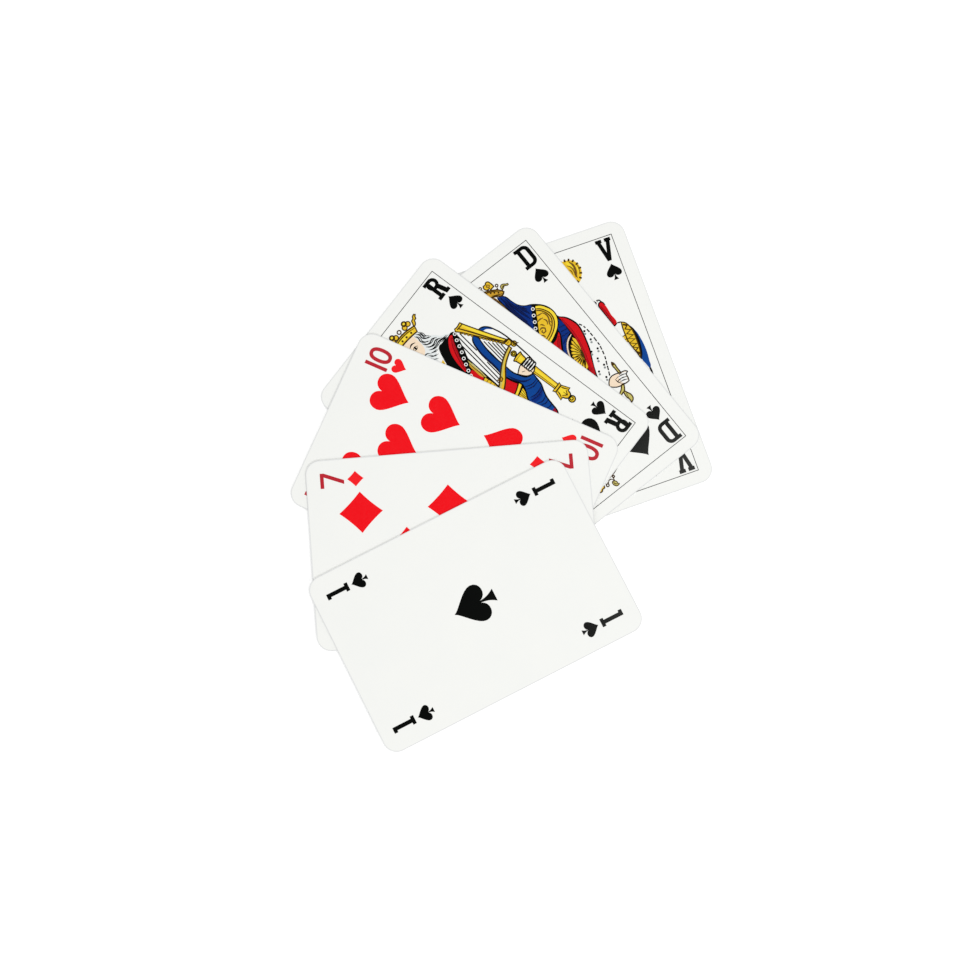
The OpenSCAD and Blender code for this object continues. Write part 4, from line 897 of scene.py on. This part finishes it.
pen("black", 0.28, [(21.2, 8.6), (21.7, 7.7)], [(21.9, 7.2), (22, 6.4)], [(22.1, 5.8), (22.2, 4.6)],
    [(22.2, 4.2), (22.2, 3)], [(22.2, 2.4), (22.1, 0.9)], [(22.1, 0.4), (22.1, -0.6)],
    [(22, -1), (21.7, -2.2)], [(21.6, -2.6), (21.3, -3.8)], [(21.1, -4.4), (20.7, -5.4)],
    [(20.5, -5.8), (19.9, -7)], [(19.8, -7.3), (19.2, -8.6)], [(19, -9), (18.4, -10.2)], point=0.9)
ermine = [
    (21.1, 5.8), (21, 2.5), (20.9, -1.1), (18.7, -0.7), (18.9, -3.6), (19.2, -6.4), (16.6, -7.1),
    (17.3, -9.9)]
stamp("black", 1, disc(0.36), ermine)
stamp("grey", 1, disc(0.36, -0.35, -0.85), ermine)
outlined("olive", "umber", 3,
    [(21.1, -11.8), (21.1, -9.6), (21.1, -8), (21.5, -7.2), (21.9, -8), (21.8, -9.6), (21.8, -11.8)],
    [(19.6, -14.8), (18.4, -15.9), (17, -16.7), (17.2, -17.4), (18.2, -17), (18.8, -16.9), (19.8, -15.8),
     (20.2, -14.8)],
    [(18.5, -17), (18.3, -18.6), (18.6, -20.2), (18.4, -21.1), (19.6, -20.4), (19.9, -19), (19.4, -17.8),
     (19, -16.8)])
brush("umber", 4, disc(0.4, 21.5, -8))
outlined("flesh", "black", 4,
    [(16.1, -12.9), (17, -11.6), (18.3, -10.8), (19.6, -10.8), (20.9, -11.2), (22, -11.6), (23.2, -12),
     (23.7, -12.6), (22.8, -13), (22.6, -14), (22.2, -15.2), (21, -15.2), (19.9, -15), (18.2, -14.6),
     (17, -13.8)], width=0.22)
brush("white", 5,
    [(20.4, -12), (22, -11.9), (23.4, -12.5), (22.6, -12.9), (22.3, -14), (21.9, -15), (20.4, -14.9),
     (20, -13.6)])
pen("black", 0.22, [(20.2, -12.2), (21.6, -12.4), (22.9, -12.9)], [(20, -13), (21.2, -13.2), (22.6, -13.8)],
    [(19.8, -13.8), (21, -14), (22.3, -14.6)], [(19, -12.2), (19.2, -13.4), (19.8, -14.4)],
    [(19.8, -14.8), (20.8, -15)], [(18.6, -19.6), (19, -17.6)], [(19.3, -12.3), (20.2, -12.1)],
    [(19.2, -13.3), (20, -13), (20.3, -13.5)])
belt(5, [(-8, 6.6), (-4, 3.6), (0, 1.1), (4, -1.6), (7.8, -4.2)], "crimson", disc(0.55), -0.68,
     (-6, -4, -2, 0, 2, 4, 6))
press("queen")

# %% [markdown]
# The jack is a young man in a flat cap with a toothed gold rosette at its side. Only that rosette, a red
# strap and the gold and blue edge of a sleeve show beside the queen. The rest is drawn as plainly as the
# other two figures, so that the card is whole when it is turned out of the fan.

# %% Jack: head, cap and rosette
jack_chin = [(-4.2, 29.6), (-3.6, 27.4), (-2.2, 25.6), (0, 24.8), (2.2, 25.6), (3.6, 27.4), (4.2, 29.6)]
jack_neck = [(-1.8, 25.4), (-1.9, 23.4), (-3, 21.6)]
brush("flesh", 0, [(-4.2, 32), *jack_chin, (4.2, 32), (0, 32.6)],
    [*jack_neck, (0, 20.6), (3, 21.6), (1.9, 23.4), (1.8, 25.4), (0, 24.6)])
jack_hair = [(3.4, 32.2), (5.2, 32), (5.6, 29), (5.4, 26), (4.4, 24), (2.6, 24), (3.4, 26), (3.8, 28.4)]
brush("brown", 1, jack_hair, *mirrored(jack_hair))
jack_locks = [[(4.2, 31.6), (4.6, 28.8), (4.3, 26.4), (3.6, 24.4)], [(5, 31), (5.1, 28.4), (4.8, 25.6)]]
pen("umber", 0.2, *jack_locks, *mirrored(*jack_locks))
jack_lids = [[(-2.8, 28.8), (-1.8, 29.3), (-0.8, 28.8)], [(-2.6, 28.65), (-1.8, 28.4), (-1, 28.65)]]
JACK_EYES_APART = 3.8
jack_eyes = [eye for lid in jack_lids for eye in (lid, moved(lid, JACK_EYES_APART))]
pen("black", 0.16, [(0.4, 29.2), (0.6, 27.8), (0.8, 27), (0.4, 26.7), (-0.2, 26.8)], *jack_eyes,
    jack_neck, *mirrored(jack_neck), jack_chin, [(-0.9, 25.9), (0, 25.8), (0.9, 25.9)])
pen("umber", 0.28, [(-3, 30), (-1.9, 30.4), (-0.7, 30.1)], [(0.9, 30.1), (2.1, 30.4), (3.2, 30)], point=0.3)
stamp("black", 1, disc(0.3), [(-1.8, 28.9), (2, 28.9)])
outlined("blue", "black", 2,
    [(-5.2, 33), (-5, 35.2), (-2.6, 37), (0.6, 37.4), (3.4, 36.8), (5, 35), (5.2, 33), (2.6, 32.8),
     (0, 32.7), (-2.6, 32.8)])
outlined("gold", "umber", 3,
    [(-5.5, 31.7), (-2.8, 32), (0, 32.1), (2.8, 32), (5.5, 31.7), (5.6, 33), (2.8, 33.3), (0, 33.4),
     (-2.8, 33.3), (-5.6, 33)])
pen("navy", 0.4, [(-3.6, 33.8), (-3.2, 35.4), (-1.6, 36.6)], [(0, 33.8), (0.2, 36.8)],
    [(3.4, 33.8), (3, 35.4), (1.8, 36.6)])
stamp("crimson", 4, disc(0.4), [(u, 32.6) for u in (-4, -2, 0, 2, 4)])
brush("gold", 2,
    [(6.9, 36.9), (8.3, 36.9), (9.7, 36.6), (11, 35.8), (11.8, 34.5), (12.1, 33.1), (11.9, 31.6),
     (11.3, 30.3), (10.4, 29.1), (9.6, 29), (9.2, 30.2), (8.8, 31.2), (8.3, 32.4), (8, 33.8), (7.6, 35.2)])
brush("yellow", 3, [(7.9, 36.4), (9.2, 36), (10.3, 34.8), (10.6, 33), (9.8, 33.4), (8.9, 34.6)],
    [(11.1, 34.8), (11.6, 33.2), (11.2, 31.2), (10.9, 33)])
pen("brown", 0.22, [(8.2, 35.2), (9.2, 34.4), (9.7, 33), (9.6, 31.4)],
    [(8.4, 33.8), (8.9, 33.2), (9.1, 31.8)], [(11.2, 34.8), (11.5, 33.3), (11.1, 31.2)],
    [(9.9, 33.8), (10.2, 32.8), (10, 30.4)])
ROSETTE_HEART = Vector((7.6, 33))
TOOTH_LENGTH = 0.9
teeth = [Vector(spot) for spot in ((6.7, 37.2), (8.1, 37.4), (9.5, 37.2), (10.8, 36.4), (11.8, 35),
                                   (12.3, 33.3), (12, 31.5), (11.3, 29.9), (10, 28.9))]
pen("umber", 0.5, *[[tuple(tip - TOOTH_LENGTH * (tip - ROSETTE_HEART).normalized()), tuple(tip)]
                    for tip in teeth], point=0.7)
pen("brown", 0.4, [(9.2, 36.1), (10, 35), (10.3, 33.4), (10.1, 31.9), (9.7, 30.8)])
tell("jack: head and rosette")

# %% [markdown]
# His tunic is parted in red and blue, with a gold collar and front. The sleeve at the card's edge has a
# dark zigzag over gold, which is one pen stroke with sharp turns, and a blue lining behind it.

# %% Jack: tunic, strap and sleeve
brush("black", 0,
    [(-4.6, 22), (-8.6, 21), (-11.2, 19.6), (-12.4, 18), (-11, 13.8), (-9.2, 9.4), (-8, 6.6), (-4, 3.4),
     (0, 0.6), (4, -2.2), (8, -5), (10.4, -6.6), (12.2, -4), (13.2, 0), (13.4, 4), (12.8, 8.6), (11.8, 13),
     (10.4, 17.2), (8.8, 20.2), (7, 21.4), (4.6, 22), (2.6, 21), (-2.6, 21)],
    [(12.1, 21.9), (12.7, 21.4), (13, 20.9), (12.8, 20.3), (12.5, 20.5), (12.4, 21.2)],
    [(20.2, 10.8), (20.9, 9.9), (21.6, 8.2), (22, 6.4), (21.8, 3), (21.3, 1), (20.5, -1), (20, -0.4),
     (20.4, 1), (20.7, 3), (20.8, 6), (20.6, 8.6)],
    [(21.5, -4.2), (22.1, -4), (22.2, -5.4), (22.1, -6.6), (21.7, -5.6)])
brush("red", 1,
    [(-4.4, 21.6), (-8.4, 20.6), (-10.8, 19.3), (-11.9, 17.8), (-10.6, 13.8), (-8.8, 9.6), (-7.7, 7),
     (-4, 4), (-1.4, 2.2), (-1.2, 8), (-1.4, 14), (-1.8, 19)],
    [(13.3, 19.2), (13.5, 20.2), (14.2, 20.6), (14.8, 20.3), (15.4, 19), (15.8, 17.2), (16.1, 15.6),
     (16.6, 14.4), (16.9, 13.2), (16.7, 12.6), (15.9, 12.1), (15.6, 12.3), (15, 14), (14.3, 16.2),
     (13.7, 17.8)])
brush("blue", 1,
    [(4.4, 21.6), (6.8, 21), (8.5, 19.9), (10, 17), (11.4, 12.9), (12.4, 8.5), (13, 4), (12.8, 0.2),
     (11.8, -3.8), (10.2, -6), (8, -4.6), (4, -1.8), (1.4, 0), (1.2, 8), (1.4, 14), (1.8, 19)],
    [(21.2, 9.2), (21.8, 7.8), (22.3, 5.4), (22.6, 2.6), (22.6, 0.2), (22.4, -1.8), (22.1, -4),
     (21.6, -4.3), (20.9, -2.4), (20.4, -0.9), (21.1, 0.8), (21.5, 3), (21.75, 6)])
pen("navy", 0.5, [(3.6, 20.4), (4.4, 14), (4, 6), (3.6, 0)], [(6.4, 20), (7.4, 14), (7.4, 6), (6.8, -2)],
    [(8.8, 18), (10, 12), (10.4, 5), (9.6, -3.4)], point=0.3)
pen("crimson", 0.5, [(-3.6, 20.4), (-4, 14), (-3.6, 6)], [(-6.4, 20), (-6.8, 14), (-5.8, 7)],
    [(-9, 18.6), (-8.8, 13), (-7.6, 9)], [(13.8, 19.4), (14.4, 17.4), (15.2, 14.8), (15.8, 12.8)],
    point=0.4)
pen("black", 0.26,
    [(16.9, 12.6), (15.9, 12), (15.6, 12.3), (15, 14), (14.3, 16.2), (13.7, 17.8), (13.3, 19.2),
     (13.5, 20.3), (14.2, 20.7), (14.8, 20.4), (15.3, 19.3)], point=0.6)
pen("black", 0.3, [(13.2, 21.6), (14, 21.4), (14.6, 20.7)], [(13.2, 21.6), (13.4, 21)],
    [(16.9, 12.7), (17.6, 12.6), (18.3, 12.6)])
outlined("gold", "umber", 2,
    [(-3.4, 21.8), (-1.8, 20.4), (0, 19.8), (1.8, 20.4), (3.4, 21.8), (3.8, 20.4), (2.2, 18.6), (0, 17.8),
     (-2.2, 18.6), (-3.8, 20.4)],
    [(-1.1, 17.8), (0, 17.4), (1.1, 17.8), (1, 10), (1.1, 2), (0, 2.2), (-1.1, 3), (-1, 10)],
    [(18.2, 12.5), (19.4, 11.8), (20.3, 10.2), (20.8, 8), (20.9, 5), (20.8, 2.6), (20.5, 1), (20.1, -0.4),
     (19.6, 1.6), (18.9, 3.6), (18.3, 5.6), (18.1, 7.8), (18, 10)])
brush("gold", 1, [(17.2, 7.8), (18.2, 8.2), (18.2, 5.6), (17.8, 5.8), (17.5, 6.6)])
stamp("umber", 4, disc(0.42), [(0, v) for v in (15.6, 12.8, 10, 7.2, 4.4)])
pen("umber", 0.4,
    [(18.4, 11.6), (19.6, 10.9), (18.6, 10), (20.2, 9.2), (18.6, 8.4), (20.4, 7.4), (18.5, 6.8), (20.5, 6),
     (18.4, 5.3), (20.5, 4.4), (18.9, 3.8), (20.4, 3), (19.3, 2.3), (20.3, 1.4), (19.7, 0.8)], point=0.8)
pen("black", 0.34, [(17, 7.9), (18.1, 8.3)], [(17.4, 6.6), (18.1, 7)], [(17.6, 5.9), (18.2, 6.2)])
belt(5, [(-8, 6.8), (-4, 3.9), (0, 1.2), (4, -1.5), (7.8, -4.4)], "navy", lozenge(0.8, 0.55), -0.7,
     (-5, -2.5, 0, 2.5, 5))
press("jack")

# %% [markdown]
# The cards lie on a pale floor that fades into a white background. A brighter lamp would bleach the cards
# as well, so the floor itself is near white and adds a little light of its own for what the camera sees.
# The world gives soft light from all round, and one large, weak lamp in front, a little to the right, gives
# the thin shadows along the cards' upper edges. A round lamp overhead is mirrored in the smooth ink at the
# lower right, where the black marks look greyer. The ink mirrors so little that, away from the lamp's
# mirror image, the marks stay black under the white room.

# %% Floor, light and camera
FLOOR_RADIUS, FLOOR_SIDES = 3.0, 96
FLOOR_DROP = 0.05 * mm
FLOOR_GREY, FLOOR_PALE = srgb(224, 224, 224), srgb(228, 228, 228)
FLOOR_SPECK_SCALE = 40.0
FLOOR_ROUGHNESS = 0.9
FLOOR_GLOW = 0.45
ROOM_LIGHT = 0.62
WHITE = (1, 1, 1, 1)


def seen_directly(tree):
    ray = add(tree, "ShaderNodeLightPath").outputs
    mirrored_or_straight = figure(tree, "ADD", ray["Is Camera Ray"], ray["Is Glossy Ray"])
    return figure(tree, "ADD", mirrored_or_straight, ray["Is Transmission Ray"], clamp=True)


bpy.ops.object.select_all(action="DESELECT")
bpy.ops.mesh.primitive_circle_add(vertices=FLOOR_SIDES, radius=FLOOR_RADIUS, fill_type="NGON",
                                  location=(0, 0, cad_box[0][2] - FLOOR_DROP))
floor = bpy.context.object
floor.name = "floor"
floor_finish, tree, shader, place = open_finish("pale_floor")
speck = add(tree, "ShaderNodeTexNoise", {"Vector": place, "Scale": FLOOR_SPECK_SCALE}).outputs["Fac"]
tree.links.new(blend(tree, speck, FLOOR_GREY, FLOOR_PALE), shader.inputs["Base Color"])
shader.inputs["Roughness"].default_value = FLOOR_ROUGHNESS
shader.inputs["Specular IOR Level"].default_value = 0.0
shader.inputs["Emission Color"].default_value = WHITE
tree.links.new(figure(tree, "MULTIPLY", seen_directly(tree), FLOOR_GLOW), shader.inputs["Emission Strength"])
floor.data.materials.append(floor_finish)

world = bpy.data.worlds.new("soft_room")
world.use_nodes = True
bpy.context.scene.world = world
tree = world.node_tree
sky = tree.nodes["Background"]
sky.inputs["Color"].default_value = WHITE
tree.links.new(figure(tree, "MAXIMUM", seen_directly(tree), ROOM_LIGHT), sky.inputs["Strength"])

WINDOW_PLACE = Vector((0.36, -0.74, 0.57)).normalized() * 2.0
WINDOW_SIZE, WINDOW_POWER = 0.7, 12
OVERHEAD_PLACE = Vector((0.409, 0.138, 1.966))
OVERHEAD_SIZE, OVERHEAD_POWER = 0.49, 8.75
OVERHEAD_TINT = (0.985, 1.0, 0.955)


def hang_lamp(name, place, size, power):
    bpy.ops.object.light_add(type="AREA", location=place)
    hung = bpy.context.object
    hung.name = name
    hung.data.size = size
    hung.data.energy = power
    hung.rotation_euler = place.to_track_quat("Z", "Y").to_euler()
    return hung


lamp = hang_lamp("window_lamp", WINDOW_PLACE, WINDOW_SIZE, WINDOW_POWER)
overhead = hang_lamp("overhead_lamp", OVERHEAD_PLACE, OVERHEAD_SIZE, OVERHEAD_POWER)
overhead.data.shape = "DISK"
overhead.data.color = OVERHEAD_TINT

AIM = Vector((-6.797, 0.438, 0.0)) * mm
CAMERA_HEIGHT_ANGLE = math.radians(82.567)
CAMERA_FAR = 528.695 * mm
SENSOR_WIDTH, LENS, NEAREST = 36, 63.75, 0.01
bpy.ops.object.camera_add(
    location=AIM + CAMERA_FAR * Vector((0, -math.cos(CAMERA_HEIGHT_ANGLE), math.sin(CAMERA_HEIGHT_ANGLE))),
    rotation=(math.pi / 2 - CAMERA_HEIGHT_ANGLE, 0, 0))
camera = bpy.context.object
camera.data.sensor_width = SENSOR_WIDTH
camera.data.lens = LENS
camera.data.clip_start = NEAREST
bpy.context.scene.camera = camera
bpy.context.scene.view_settings.view_transform = "Standard"
print("camera", [round(c, 4) for c in camera.location], "lamp", [round(c, 3) for c in lamp.location])
